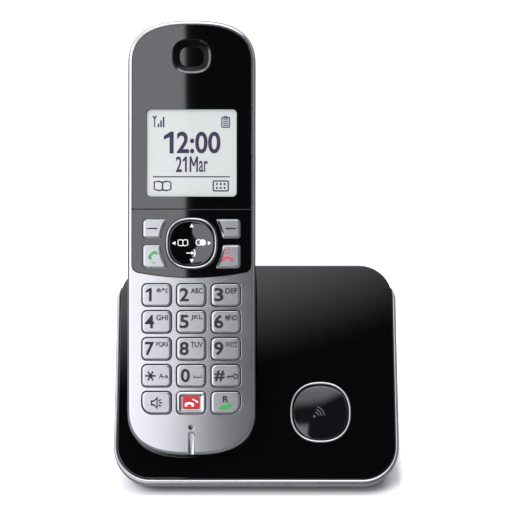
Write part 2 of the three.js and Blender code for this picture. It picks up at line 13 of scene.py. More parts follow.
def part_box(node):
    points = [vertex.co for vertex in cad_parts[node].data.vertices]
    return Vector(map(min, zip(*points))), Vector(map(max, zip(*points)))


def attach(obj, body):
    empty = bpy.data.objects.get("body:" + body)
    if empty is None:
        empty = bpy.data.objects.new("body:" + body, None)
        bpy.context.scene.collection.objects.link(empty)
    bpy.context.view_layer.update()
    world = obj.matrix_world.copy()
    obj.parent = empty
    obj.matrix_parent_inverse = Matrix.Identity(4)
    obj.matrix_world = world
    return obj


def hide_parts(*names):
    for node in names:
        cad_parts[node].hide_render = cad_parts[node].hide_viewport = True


bl_info = {
    "name": "Cordless telephone",
    "version": (1, 0, 0),
    "blender": (4, 5, 0),
    "location": "3D View > Sidebar > Telephone",
    "description": "Builds a cordless handset, its charging base and a plain studio",
    "category": "Object",
}

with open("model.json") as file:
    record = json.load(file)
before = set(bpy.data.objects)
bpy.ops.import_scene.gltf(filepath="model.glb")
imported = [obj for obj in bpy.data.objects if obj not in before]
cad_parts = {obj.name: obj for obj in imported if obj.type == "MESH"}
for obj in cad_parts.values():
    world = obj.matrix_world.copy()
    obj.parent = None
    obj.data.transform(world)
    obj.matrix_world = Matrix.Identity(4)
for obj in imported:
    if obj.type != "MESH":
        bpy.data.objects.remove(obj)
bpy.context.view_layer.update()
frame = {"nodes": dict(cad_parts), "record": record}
MM = 0.001
JOINTS = {joint["name"]: joint for joint in frame["record"]["behaviour"]["joints"]}

# ---------- sizes of the handset, in millimetres ----------
HANDSET_WIDTH = 48.0
HANDSET_LENGTH = 163.0
HANDSET_THICKNESS = 26.0
SPLIT = -12.2  # height of the parting line
GAP = 0.3
CAP = 17.0  # length of each rounded end
SQUARENESS = 2.6
FRONT_WALL = 3.6
WALL = 1.6
TAPER_START = 14.0
TAPER_ALONG = 22.0
PANEL_INSET = 1.6
PANEL_DEPTH = 2.0
PANEL_TOP = 0.1
SEAM_Y = 92.0
DISPLAY = {"width": 33.6, "height": 32.6, "y": 113.1, "corner": 1.5, "depth": 0.85}
EARPIECE = {"width": 14.5, "height": 12.9, "open_width": 9.0, "open_height": 7.7, "y": 149.4}
NAV_Y = 79.2
NAV_SQUARENESS = 2.45
RING_HALF = 9.5
RING_WIDTH = 0.85
KEY_WIDTH, KEY_HEIGHT, KEY_CORNER = 10.8, 8.2, 1.7
KEY_TOP = 0.7
KEY_BOTTOM = -4.9
PITCH_X, PITCH_Y, TOP_ROW_Y = 12.9, 10.05, 59.9
BIG_CORNER = 3.8
MIC_Y = 10.2
COVER = {"width": 30.0, "low": 26.0, "high": 82.0, "thickness": 1.6, "travel": 6.0}
BAY = {"width": 26.0, "low": 30.0, "high": 78.5, "floor": -12.6}

# ---------- sizes of the base, in millimetres ----------
FACE = {"width": 105.2, "bottom": 2.9, "top": 85.4, "corner": 12.6, "thickness": 2.2}
TRIM_DEPTH = 5.0
TUB_CLEARANCE = 0.5
TUB_WALL = 1.6
LOCATOR = {"x": 24.4, "y": 28.0, "ring": 11.6, "key": 10.25}
LOCATOR_RING_MIDDLE = -0.85  # height of the middle of the locator ring
PIVOT_HEIGHT = -1.3  # height of the navigation key's pivot


# ---------- places taken from the frame ----------
def axes_place(origin, along, out):
    """A matrix from local millimetres to metres in the frame."""
    across = along.cross(out)
    turn = Matrix((across, along, out)).transposed().to_4x4()
    return Matrix.Translation(origin) @ turn @ Matrix.Scale(MM, 4)


def handset_place():
    along = Vector(JOINTS["handset_lift"]["axis"]).normalized()
    out = -Vector(JOINTS["key_5_press"]["axis"]).normalized()
    pivot = Vector(JOINTS["nav_tilt_up_down"]["pos_m"])
    return axes_place(pivot - along * NAV_Y * MM - out * PIVOT_HEIGHT * MM, along, out)


def face_place():
    out = -Vector(JOINTS["locator_button_press"]["axis"]).normalized()
    along = out.cross(Vector((1, 0, 0)))
    low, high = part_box("locator_ring")
    middle = (Vector(low) + Vector(high)) / 2
    origin = middle - Vector((1, 0, 0)) * LOCATOR["x"] * MM - along * LOCATOR["y"] * MM
    return axes_place(origin - out * LOCATOR_RING_MIDDLE * MM, along, out)


ON_HANDSET = handset_place()
ON_FACE = face_place()


# ---------- outlines: lists of (x, y) that run counterclockwise ----------
def rounded(width, height, radii, x=0.0, y=0.0, steps=8):
    """A rectangle with its own radius at each corner: top right, top left, bottom left, bottom right."""
    radii = radii if isinstance(radii, (list, tuple)) else [radii] * 4
    signs = [(1, 1), (-1, 1), (-1, -1), (1, -1)]
    points = []
    for quarter, ((sx, sy), radius) in enumerate(zip(signs, radii)):
        cx = x + sx * (width / 2 - radius)
        cy = y + sy * (height / 2 - radius)
        for step in range(steps + 1):
            angle = (quarter + step / steps) * math.pi / 2
            points.append((cx + radius * math.cos(angle), cy + radius * math.sin(angle)))
    return points


def squircle(half_width, half_height, power, x=0.0, y=0.0, steps=96):
    """A superellipse."""
    points = []
    for step in range(steps):
        angle = 2 * math.pi * step / steps
        c, s = math.cos(angle), math.sin(angle)
        px = half_width * math.copysign(abs(c) ** (2 / power), c)
        py = half_height * math.copysign(abs(s) ** (2 / power), s)
        points.append((x + px, y + py))
    return points


def end_curve(half_width, cap, steps=48):
    """One rounded end of the handset, from its right side to its left."""
    points = []
    for step in range(steps + 1):
        angle = math.pi * step / steps
        c, s = math.cos(angle), abs(math.sin(angle))
        across = half_width * math.copysign(abs(c) ** (2 / SQUARENESS), c)
        points.append((across, cap * s ** (2 / SQUARENESS)))
    return points


def handset_outline(grow=0.0, extra=0.0):
    curve = end_curve(HANDSET_WIDTH / 2 + grow, CAP + grow)
    start = HANDSET_LENGTH - CAP + extra
    top = [(x, start + y) for x, y in curve]
    bottom = [(-x, CAP - y) for x, y in curve]
    sides = 16
    left = [(top[-1][0], CAP + (start - CAP) * (1 - k / sides)) for k in range(1, sides)]
    right = [(bottom[-1][0], CAP + (start - CAP) * k / sides) for k in range(1, sides)]
    return top + left + bottom + right


def quadratic(a, b, c, steps=10):
    """Points of a quadratic curve from a to c with its handle at b, without a."""
    points = []
    for step in range(1, steps + 1):
        t = step / steps
        points.append(tuple((1 - t) ** 2 * p + 2 * t * (1 - t) * q + t * t * r for p, q, r in zip(a, b, c)))
    return points


def panel_foot(side, lift=0.0):
    """The lower edge of the black panels, from the left side to the right."""
    corner_y, side_y, sag_y = 68.2 + lift, 71.6 + lift, 64.4 + lift
    shoulder = side - 2.6
    points = [(-side, side_y)]
    points += quadratic((-side, side_y), (-side, corner_y + 0.4), (-shoulder, corner_y))
    points += quadratic((-shoulder, corner_y), (0, sag_y), (shoulder, corner_y), 24)
    points += quadratic((shoulder, corner_y), (side, corner_y + 0.4), (side, side_y))
    return points


def panel_outline(inset):
    side = HANDSET_WIDTH / 2 - inset
    top = [(x, HANDSET_LENGTH - CAP + y) for x, y in end_curve(side, CAP - inset)]
    return top + panel_foot(side, inset - PANEL_INSET)


def display_outline(inset):
    side = HANDSET_WIDTH / 2 - inset
    low = SEAM_Y + GAP / 4
    top = [(x, HANDSET_LENGTH - CAP + y) for x, y in end_curve(side, CAP - inset)]
    return top + quadratic((-side, low + 1), (-side, low), (-side + 0.5, low), 4) + quadratic(
        (side - 0.5, low), (side, low), (side, low + 1), 4)


def navigation_outline(inset):
    side = HANDSET_WIDTH / 2 - inset
    high = SEAM_Y - GAP / 4
    top = quadratic((side, high - 1), (side, high), (side - 0.5, high), 4)
    top += quadratic((0.5 - side, high), (-side, high), (-side, high - 1), 4)
    return top + panel_foot(side, inset - PANEL_INSET)


def menu_outline(side, low, high):
    """A key beside the navigation ring, hollow on its inner side. side is 1 on the right."""
    outer, centre_x, radius = 18.0, -5.08, 16.91
    inner_at = lambda y: centre_x + math.sqrt(radius ** 2 - (y - NAV_Y) ** 2)
    soft, corner = (1.6, 1.0) if low > NAV_Y else (1.0, 1.6)
    points = quadratic((outer, high - soft), (outer, high), (outer - soft, high), 6)
    tip = 0.45
    start, end = (high, low)
    points += quadratic((inner_at(start) + tip, start), (inner_at(start), start),
                        (inner_at(start - tip), start - tip), 4)
    for k in range(1, 10):
        y = start - tip + (end - start + 2 * tip) * k / 10
        points.append((inner_at(y), y))
    points += quadratic((inner_at(end + tip), end + tip), (inner_at(end), end), (inner_at(end) + tip, end), 4)
    points += quadratic((outer - corner, low), (outer, low), (outer, low + corner), 6)
    return points if side > 0 else [(-x, y) for x, y in reversed(points)]


def grown(points, distance):
    """The outline moved outwards along its own normals."""
    if not distance:
        return list(points)
    result = []
    for i, (x, y) in enumerate(points):
        before, after = Vector(points[i - 1]), Vector(points[(i + 1) % len(points)])
        here = Vector((x, y))
        one, two = (here - before).normalized(), (after - here).normalized()
        tangent = (one + two).normalized()
        stretch = 1 / max(0.5, tangent.dot(one))
        result.append((x + tangent.y * distance * stretch, y - tangent.x * distance * stretch))
    return result


def rolled(top, across, down, steps=5):
    """(grow, height) pairs of an edge that rolls over from the flat top to the side."""
    pairs = []
    for step in range(steps + 1):
        angle = math.pi / 2 * step / steps
        pairs.append((across * (math.sin(angle) - 1), top + down * (math.cos(angle) - 1)))
    return pairs


# ---------- mesh work ----------
def loop_edges(verts):
    pairs = zip(verts, verts[1:] + verts[:1])
    made = []
    for a, b in pairs:
        made.append(a.link_edges and next((e for e in a.link_edges if e.other_vert(a) is b), None))
    return made


def first_loop(bm, points, height):
    verts = [bm.verts.new((x, y, height)) for x, y in points]
    for a, b in zip(verts, verts[1:] + verts[:1]):
        bm.edges.new((a, b))
    return verts


def next_loop(bm, verts, points, height):
    """The edge loop extruded to the same number of new points."""
    made = bmesh.ops.extrude_edge_only(bm, edges=loop_edges(verts))
    fresh = {item for item in made["geom"] if isinstance(item, bmesh.types.BMVert)}
    result = []
    for vert, (x, y) in zip(verts, points):
        twin = next(e.other_vert(vert) for e in vert.link_edges if e.other_vert(vert) in fresh)
        twin.co = (x, y, height(x, y) if callable(height) else height)
        result.append(twin)
    return result


def wall(bm, outline, path):
    """A wall that follows the outline through (grow, height) pairs. Returns its first and last loops."""
    (grow, height), *rest = path
    first = last = first_loop(bm, grown(outline, grow), height)
    for grow, height in rest:
        last = next_loop(bm, last, grown(outline, grow), height)
    return first, last


def fill(bm, *loops):
    """A flat face inside the first loop and outside the others."""
    edges = [edge for loop in loops for edge in loop_edges(loop)]
    if len(loops) == 1:
        bmesh.ops.edgeloop_fill(bm, edges=edges)
    else:
        bmesh.ops.triangle_fill(bm, edges=edges, use_beauty=True)


def slab(bm, points, bottom, top):
    """A flat piece of any outline."""
    first, last = wall(bm, points, [(0, bottom), (0, top)])
    fill(bm, first)
    fill(bm, last)


def plate(bm, outline, holes, top, bottom, roll=0.3, hole_roll=0.15):
    """A flat plate with rolled edges and holes. The thin flat margin keeps the face's shading level."""
    margin = 0.06
    path = [(-roll - margin, top)] + rolled(top, roll, roll) + [(0, bottom)]
    rims = [wall(bm, outline, path)]
    for hole in holes:
        path = [(hole_roll + margin, top)] + [(-g, h) for g, h in rolled(top, hole_roll, hole_roll, 3)]
        rims.append(wall(bm, hole, path + [(0, bottom)]))
    fill(bm, *[first for first, last in rims])
    fill(bm, *[last for first, last in rims])


def finished(bm, name, place, material, body, *replaced, slot=None, smooth=35, painted_shade=None):
    """The mesh as a piece of the phone, riding on its body."""
    bmesh.ops.remove_doubles(bm, verts=bm.verts, dist=1e-4)
    bmesh.ops.recalc_face_normals(bm, faces=bm.faces)
    mesh = bpy.data.meshes.new(name)
    bm.to_mesh(mesh)
    bm.free()
    return adopted(bpy.data.objects.new(name, mesh), place, material, body, *replaced, slot=slot,
                   smooth=smooth,
                   painted_shade=painted_shade)


def adopted(piece, place, material, body, *replaced, slot=None, smooth=35, painted_shade=None):
    """Makes the object a piece of the phone. The faces that the given test picks get the near-black painted shade,
    standing in for the shade in hollows, gaps and under edges.
    """
    picked = [bool(painted_shade and painted_shade(face)) for face in piece.data.polygons]
    piece.data.transform(place)
    if place.determinant() < 0:
        piece.data.flip_normals()
    if piece.name not in bpy.context.scene.collection.all_objects:
        bpy.context.scene.collection.objects.link(piece)
    piece.data.materials.clear()
    piece.data.materials.append(material)
    if painted_shade:
        piece.data.materials.append(painted_shade_black())
        for face, chosen in zip(piece.data.polygons, picked):
            face.material_index = int(chosen)
    piece.data.shade_smooth()
    piece.data.set_sharp_from_angle(angle=math.radians(smooth))
    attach(piece, body)
    if replaced:
        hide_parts(*replaced)
    return piece


def tool(bm, place=None):
    """A temporary solid for cutting and joining."""
    bmesh.ops.remove_doubles(bm, verts=bm.verts, dist=1e-4)
    bmesh.ops.recalc_face_normals(bm, faces=bm.faces)
    mesh = bpy.data.meshes.new("tool")
    bm.to_mesh(mesh)
    bm.free()
    if place is not None:
        mesh.transform(place)
    piece = bpy.data.objects.new("tool", mesh)
    bpy.context.scene.collection.objects.link(piece)
    return piece


def combined(body, operation, *tools):
    """The body cut by, joined with or kept inside each tool in turn. The tools are used up."""
    for each in tools:
        step = body.modifiers.new("cut", "BOOLEAN")
        step.operation = operation
        step.solver = "EXACT"
        step.object = each
        depsgraph = bpy.context.evaluated_depsgraph_get()
        mesh = bpy.data.meshes.new_from_object(body.evaluated_get(depsgraph))
        body.modifiers.clear()
        old = body.data
        body.data = mesh
        bpy.data.meshes.remove(old)
        bpy.data.objects.remove(each)
    return body


def level(piece):
    """Lets the large flat faces set the shading at their edges."""
    step = piece.modifiers.new("level faces", "WEIGHTED_NORMAL")
    step.mode = "FACE_AREA"
    step.weight = 90
    step.keep_sharp = True
    return piece


def softened(piece, width, angle=40, segments=2):
    """Small rolled edges where a cut left sharp ones."""
    step = piece.modifiers.new("soft edges", "BEVEL")
    step.width = width
    step.segments = segments
    step.limit_method = "ANGLE"
    step.angle_limit = math.radians(angle)
    step.use_clamp_overlap = True
    return level(piece)


# ---------- shared surface effects ----------
def effect_group(name, inputs, outputs):
    """An empty shader group with named sockets."""
    group = bpy.data.node_groups.new(name, "ShaderNodeTree")
    for label, kind, value in inputs:
        group.interface.new_socket(label, in_out="INPUT", socket_type=kind).default_value = value
    for label, kind in outputs:
        group.interface.new_socket(label, in_out="OUTPUT", socket_type=kind)
    return group, group.nodes.new("NodeGroupInput"), group.nodes.new("NodeGroupOutput")


def moulded_grain():
    """The fine texture of moulded, painted and polished skins: a bump and a slow change in gloss."""
    group, given, out = effect_group(
        "moulded grain",
        [("Size", "NodeSocketFloat", 3000.0), ("Depth", "NodeSocketFloat", 0.1),
         ("Roughness", "NodeSocketFloat", 0.4), ("Unevenness", "NodeSocketFloat", 0.05)],
        [("Normal", "NodeSocketVector"), ("Roughness", "NodeSocketFloat")])
    nodes, link = group.nodes, group.links.new
    place = nodes.new("ShaderNodeTexCoord")
    fine = nodes.new("ShaderNodeTexNoise")
    fine.inputs["Detail"].default_value = 3
    bump = nodes.new("ShaderNodeBump")
    bump.inputs["Distance"].default_value = 0.00006
    slow = nodes.new("ShaderNodeTexNoise")
    slow.inputs["Scale"].default_value = 55
    slow.inputs["Detail"].default_value = 5
    centred = nodes.new("ShaderNodeMath")
    centred.operation = "SUBTRACT"
    centred.inputs[1].default_value = 0.5
    scaled = nodes.new("ShaderNodeMath")
    scaled.operation = "MULTIPLY_ADD"
    link(place.outputs["Object"], fine.inputs["Vector"])
    link(given.outputs["Size"], fine.inputs["Scale"])
    link(fine.outputs["Fac"], bump.inputs["Height"])
    link(given.outputs["Depth"], bump.inputs["Strength"])
    link(bump.outputs["Normal"], out.inputs["Normal"])
    link(place.outputs["Object"], slow.inputs["Vector"])
    link(slow.outputs["Fac"], centred.inputs[0])
    link(centred.outputs[0], scaled.inputs[0])
    link(given.outputs["Unevenness"], scaled.inputs[1])
    link(given.outputs["Roughness"], scaled.inputs[2])
    link(scaled.outputs[0], out.inputs["Roughness"])
    return group


def settled_dust():
    """A colour with sparse pale specks and a slow, faint change of shade."""
    group, given, out = effect_group(
        "settled dust",
        [("Colour", "NodeSocketColor", (0.5, 0.5, 0.5, 1)),
         ("Dust colour", "NodeSocketColor", (0.6, 0.58, 0.55, 1)),
         ("Amount", "NodeSocketFloat", 0.1), ("Shade", "NodeSocketFloat", 0.05)],
        [("Colour", "NodeSocketColor")])
    nodes, link = group.nodes, group.links.new
    place = nodes.new("ShaderNodeTexCoord")
    specks = nodes.new("ShaderNodeTexNoise")
    specks.inputs["Scale"].default_value = 1400
    specks.inputs["Detail"].default_value = 2
    sparse = nodes.new("ShaderNodeMapRange")
    sparse.inputs["From Min"].default_value = 0.66
    sparse.inputs["From Max"].default_value = 0.8
    weight = nodes.new("ShaderNodeMath")
    weight.operation = "MULTIPLY"
    drift = nodes.new("ShaderNodeTexNoise")
    drift.inputs["Scale"].default_value = 40
    darker = nodes.new("ShaderNodeMath")
    darker.operation = "MULTIPLY"
    shaded = nodes.new("ShaderNodeMix")
    shaded.data_type = "RGBA"
    shaded.inputs["B"].default_value = (0, 0, 0, 1)
    dusty = nodes.new("ShaderNodeMix")
    dusty.data_type = "RGBA"
    link(place.outputs["Object"], specks.inputs["Vector"])
    link(place.outputs["Object"], drift.inputs["Vector"])
    link(specks.outputs["Fac"], sparse.inputs["Value"])
    link(sparse.outputs["Result"], weight.inputs[0])
    link(given.outputs["Amount"], weight.inputs[1])
    link(drift.outputs["Fac"], darker.inputs[0])
    link(given.outputs["Shade"], darker.inputs[1])
    link(given.outputs["Colour"], shaded.inputs["A"])
    link(darker.outputs[0], shaded.inputs["Factor"])
    link(shaded.outputs["Result"], dusty.inputs["A"])
    link(given.outputs["Dust colour"], dusty.inputs["B"])
    link(weight.outputs[0], dusty.inputs["Factor"])
    link(dusty.outputs["Result"], out.inputs["Colour"])
    return group


GROUPS = {}


def finish_material(name, colour, rough, metal=0.0, grain=3000.0, depth=0.05, uneven=0.05, dust=0.0,
                    shade=0.04,
                    coat=0.0, coat_rough=0.05, glow=0.0, ior=1.5):
    """One finish of the telephone. It is made once and then shared."""
    if name in bpy.data.materials:
        return bpy.data.materials[name]
    if not GROUPS:
        GROUPS["grain"] = moulded_grain()
        GROUPS["dust"] = settled_dust()
    material = bpy.data.materials.new(name)
    material.use_nodes = True
    nodes, link = material.node_tree.nodes, material.node_tree.links.new
    shader = nodes["Principled BSDF"]
    skin = nodes.new("ShaderNodeGroup")
    skin.node_tree = GROUPS["grain"]
    for label, value in (("Size", grain), ("Depth", depth), ("Roughness", rough), ("Unevenness", uneven)):
        skin.inputs[label].default_value = value
    tint = nodes.new("ShaderNodeGroup")
    tint.node_tree = GROUPS["dust"]
    tint.inputs["Colour"].default_value = (*colour, 1)
    tint.inputs["Amount"].default_value = dust
    tint.inputs["Shade"].default_value = shade
    link(skin.outputs["Roughness"], shader.inputs["Roughness"])
    link(skin.outputs["Normal"], shader.inputs["Normal"])
    link(tint.outputs["Colour"], shader.inputs["Base Color"])
    shader.inputs["Metallic"].default_value = metal
    shader.inputs["Coat Weight"].default_value = coat
    shader.inputs["Coat Roughness"].default_value = coat_rough
    shader.inputs["IOR"].default_value = ior
    if glow:
        shader.inputs["Emission Color"].default_value = (*colour, 1)
        shader.inputs["Emission Strength"].default_value = glow
    return material


def pearl_silver():
    colour = tuple(bpy.context.scene.telephone_finish.casing)
    return finish_material("pearl silver", colour, 0.12, 0.94, 5200, 0.035, 0.03, 0.02, 0.05)


def key_silver():
    colour = tuple(bpy.context.scene.telephone_finish.keys)
    return finish_material("key silver", colour, 0.17, 0.85, 4200, 0.04, 0.04, 0.03, 0.04)


def plated_silver():
    return finish_material("plated silver", (0.66, 0.66, 0.67), 0.2, 0.95, 2600, 0.03, 0.05, 0.0, 0.03)


def trim_silver():
    return finish_material("trim silver", (0.50, 0.50, 0.52), 0.24, 0.9, 3600, 0.04, 0.05, 0.0, 0.04)


def piano_black():
    colour = tuple(bpy.context.scene.telephone_finish.gloss)
    return finish_material("piano black", colour, 0.025, 0.0, 900, 0.002, 0.01, 0.02, 0.3, ior=1.87)


def button_black():
    return finish_material("button black", (0.004, 0.004, 0.005),
                           0.06, 0.0, 1200, 0.004, 0.02, 0.03, 0.2, ior=1.87)


def satin_black():
    return finish_material("satin black", (0.016, 0.016, 0.018), 0.42, 0.0, 2800, 0.3, 0.08, 0.06, 0.2)


# Painted shade: a near-black finish that hardly reflects, put on faces of silver or gloss parts to stand in for the
# shade in hollows, gaps and under edges.
def painted_shade_black():
    return finish_material("painted shade black", (0.0015, 0.0015, 0.0018),
                           0.3, 0.0, 2400, 0.05, 0.05, 0.02, 0.2, ior=1.25)


def display_glow():
    colour = tuple(bpy.context.scene.telephone_finish.display)
    return finish_material("display face", colour, 0.3, 0.0, 900, 0.01, 0.02, 0.0, 0.03, 0.5, 0.03, 0.55)


def ink(name, colour, rough=0.5, glow=0.0):
    return finish_material(name + " ink", colour, rough, 0.0, 3000, 0.05, 0.05, 0.0, 0.05, glow=glow)


HIDDEN_FINISHES = {
    "inner_plastic": ("inner plastic", (0.42, 0.42, 0.4), 0.55, 0.0),
    "keypad_rubber": ("keypad rubber", (0.05, 0.05, 0.055), 0.75, 0.0),
    "circuit_board": ("circuit board", (0.012, 0.09, 0.03), 0.45, 0.0),
    "display_glass": ("display module", (0.5, 0.54, 0.5), 0.3, 0.0),
    "contact_metal": ("contact metal", (0.66, 0.62, 0.52), 0.25, 1.0),
    "cell_sleeve": ("cell sleeve", (0.07, 0.22, 0.09), 0.35, 0.0),
    "rear_black": ("satin black", (0.016, 0.016, 0.018), 0.42, 0.0),
    "housing_black": ("matt black", (0.02, 0.02, 0.021), 0.55, 0.0),
    "foot_rubber": ("foot rubber", (0.03, 0.03, 0.031), 0.82, 0.0),
}


# ---------- handset casing ----------
DIGIT_ROWS = [
    ["key_1", "key_2", "key_3"],
    ["key_4", "key_5", "key_6"],
    ["key_7", "key_8", "key_9"],
    ["key_star", "key_0", "key_hash"],
    ["speaker_key", "call_block_key", "recall_key"],
]
MENU_KEYS = [
    ("soft_key_left", -1, 81.3, 88.1),
    ("soft_key_right", 1, 81.3, 88.1),
    ("talk_key", -1, 70.1, 78.4),
    ("off_key", 1, 70.1, 78.4),
]
KEY_CENTRES = {
    name: ((column - 1) * PITCH_X, TOP_ROW_Y - row * PITCH_Y)
    for row, names in enumerate(DIGIT_ROWS)
    for column, name in enumerate(names)
}


def digit_outline(name):
    """A key's outline. The two outer corners at the bottom of the keypad are rounder."""
    radii = [KEY_CORNER] * 4
    if name == "speaker_key":
        radii[2] = BIG_CORNER
    if name == "recall_key":
        radii[3] = BIG_CORNER
    return rounded(KEY_WIDTH, KEY_HEIGHT, radii, *KEY_CENTRES[name])


def earpiece_outline(half=0.5):
    return squircle(EARPIECE["width"] * half, EARPIECE["height"] * half, 2.7, 0, EARPIECE["y"])


def ring_outline(half):
    return squircle(half, half, NAV_SQUARENESS, 0, NAV_Y)


def block(bm, low, high):
    """A box between two corners."""
    size = [b - a for a, b in zip(low, high)]
    middle = [(a + b) / 2 for a, b in zip(low, high)]
    matrix = Matrix.Translation(middle) @ Matrix.Diagonal((*size, 1))
    return bmesh.ops.create_cube(bm, size=1, matrix=matrix)["verts"]


def box_tool(low, high, place, edge=0.0):
    bm = bmesh.new()
    block(bm, low, high)
    if edge:
        bmesh.ops.bevel(bm, geom=bm.edges, offset=edge, segments=2, profile=0.5, affect="EDGES", material=-1)
    return tool(bm, place)


def cylinder_tool(radius, bottom, top, x, y, place, sides=48):
    bm = bmesh.new()
    slab(bm, [(x + radius * math.cos(2 * math.pi * k / sides), y + radius * math.sin(2 * math.pi * k / sides))
              for k in range(sides)], bottom, top)
    return tool(bm, place)


def prism_tool(outline, bottom, top, place):
    bm = bmesh.new()
    slab(bm, outline, bottom, top)
    return tool(bm, place)


def front_shell():
    """The silver upper shell with the pocket for the black panels and a hole for every key."""
    bm = bmesh.new()
    lip = PANEL_INSET - 0.001
    roll = [(-1.36, 0.0)] + rolled(0, 1.3, 2.0, 9)
    outer_top, inner_low = wall(bm, handset_outline(), roll + [
        (0, SPLIT + 0.25), (-0.25, SPLIT), (-WALL, SPLIT), (-WALL, -FRONT_WALL)])
    pocket = panel_outline(lip)
    pocket_top, pocket_low = wall(bm, pocket,
                                  [(0.16, 0), (0.09, 0), (0.03, -0.06), (0, -0.16), (0, -PANEL_DEPTH)])
    top_rims, low_rims, floor_rims = [], [], []
    for name in KEY_CENTRES:
        hole = grown(digit_outline(name), GAP)
        first, last = wall(bm, hole, [(0.16, 0), (0.08, 0), (0.02, -0.03), (0, -0.1), (0, -FRONT_WALL)])
        top_rims.append(first)
        low_rims.append(last)
    pinhole = squircle(0.85, 0.85, 2, 0, MIC_Y + 0.25, 32)
    first, last = wall(bm, pinhole, [(0.3, 0), (0.14, 0), (0.04, -0.05), (0, -0.15), (0, -FRONT_WALL)])
    top_rims.append(first)
    low_rims.append(last)
    openings = [rounded(DISPLAY["width"], DISPLAY["height"], DISPLAY["corner"], 0, DISPLAY["y"]),
                rounded(EARPIECE["open_width"], EARPIECE["open_height"], 3, 0, EARPIECE["y"]),
                ring_outline(RING_HALF - 0.35)]
    openings += [grown(menu_outline(side, low, high), GAP) for name, side, low, high in MENU_KEYS]
    for hole in openings:
        first, last = wall(bm, hole, [(0, -PANEL_DEPTH), (0, -FRONT_WALL)])
        floor_rims.append(first)
        low_rims.append(last)
    fill(bm, outer_top, pocket_top, *top_rims)
    fill(bm, pocket_low, *floor_rims)
    fill(bm, inner_low, *low_rims)
    shell = tool(bm)
    bm = bmesh.new()
    half = 1.0
    channel = [(half, -1)] + arc(0, 8.5 - half, half, 0, 180, 12) + [(-half, -1)]
    first, last = wall(bm, channel, [(-0.15, -0.6), (0, -0.5), (0.4, 0), (0.4, 1)])
    fill(bm, first)
    fill(bm, last)
    groove = tool(bm)
    sockets = [box_tool((side * 9 - 2.3, -1, -10.8), (side * 9 + 2.3, 1.85, -6.2), Matrix(), 0.3)
               for side in (-1, 1)]
    combined(shell, "DIFFERENCE", groove, *sockets)
    shell.name = shell.data.name = "handset_front_shell"

    # Painted shade: the walls of the key holes and the floors under the black panels get the near-black finish,
    # standing in for the shade in the gaps round the keys and at the panel seams; the shell is silver there.
    def hollow(face):
        x, y, z = face.center
        in_keypad = z < -0.05 and abs(x) < 19.2 and 8.9 < y < 65.5
        return in_keypad or (z < -1.5 and face.normal.z > 0.9)

    return level(adopted(shell, ON_HANDSET, pearl_silver(), "handset", "front_case", slot="case_silver",
                         smooth=42,
                         painted_shade=hollow))


def rear_body(bottom_grow, top, extra=0.0, roll=6.0, steps=9, clear=0.0):
    """The solid rear of the handset below a height: a rolled back edge and a taper at the lower end."""
    bm = bmesh.new()
    back = -HANDSET_THICKNESS - bottom_grow
    path = [(bottom_grow - roll * 1.01, back)]
    for grow, height in rolled(0, roll, roll, steps):
        path.append((bottom_grow + grow, back - height))
    path.append((bottom_grow, top))
    first, last = wall(bm, handset_outline(0, extra), path)
    fill(bm, first)
    fill(bm, last)
    low, high = Vector((0, 0, -TAPER_START)), Vector((0, TAPER_ALONG, -HANDSET_THICKNESS))
    normal = Vector((1, 0, 0)).cross(high - low).normalized()
    if normal.z > 0:
        normal.negate()
    cut = bmesh.ops.bisect_plane(
        bm, geom=bm.verts[:] + bm.edges[:] + bm.faces[:], plane_co=low + normal * bottom_grow,
        plane_no=normal,
        clear_outer=True)
    rim = [e for e in cut["geom_cut"] if isinstance(e, bmesh.types.BMEdge)]
    bmesh.ops.edgeloop_fill(bm, edges=rim)
    if clear:
        soft = [e for e in rim if e.is_valid]
        bmesh.ops.bevel(bm, geom=soft, offset=clear, segments=4, profile=0.5, affect="EDGES", material=-1,
                        clamp_overlap=True)
    return bm


def rear_shell():
    """The dark rear shell with the battery bay, the loudspeaker slots and the screw wells."""
    top = SPLIT - GAP
    back = -HANDSET_THICKNESS
    ledge = back + COVER["thickness"] + GAP
    shell = tool(rear_body(0, top, clear=0.9))
    hollow = tool(rear_body(-WALL, top + 1, roll=4.4))
    combined(shell, "DIFFERENCE", hollow)
    bay_wall, lip = BAY["width"] / 2 + 1.4, COVER["width"] / 2 + 1.5
    joined = [
        box_tool((-bay_wall, BAY["low"] - 1.4, ledge - 0.2), (bay_wall, BAY["high"] + 1.4, BAY["floor"]),
                 Matrix()),
        box_tool((-lip, COVER["low"] - 1.5, back + 1),
                 (lip, COVER["high"] + COVER["travel"] + 2, ledge + 1.3),
                 Matrix()),
    ]
    cuts = []
    for side in (-1, 1):
        joined.append(cylinder_tool(4, back + 1, top, side * 12, 146, Matrix()))
        cuts.append(cylinder_tool(2.6, back - 1, -21.7, side * 12, 146, Matrix()))
        cuts.append(cylinder_tool(1.3, back, top + 1, side * 12, 146, Matrix(), 24))
    combined(shell, "UNION", *joined)
    length = COVER["high"] + COVER["travel"] - COVER["low"] + 3 * GAP
    middle = (COVER["high"] + COVER["travel"] + COVER["low"] + GAP) / 2
    cuts.append(prism_tool(rounded(COVER["width"] + 2 * GAP, length, 3, 0, middle), back - 1, ledge,
                           Matrix()))
    cuts.append(box_tool((-BAY["width"] / 2, BAY["low"], back - 1),
                         (BAY["width"] / 2, BAY["high"], BAY["floor"] - 1.4),
                         Matrix()))
    for slot in range(-2, 3):
        cuts.append(prism_tool(rounded(14, 1.2, 0.55, 0, 122 + 3 * slot, 5), back - 1, back + 3, Matrix()))
    combined(shell, "DIFFERENCE", *cuts)
    shell.name = shell.data.name = "handset_rear_shell"
    adopted(shell, ON_HANDSET, satin_black(), "handset", "rear_case", slot="rear_black", smooth=30)
    return softened(shell, 0.18 * MM)


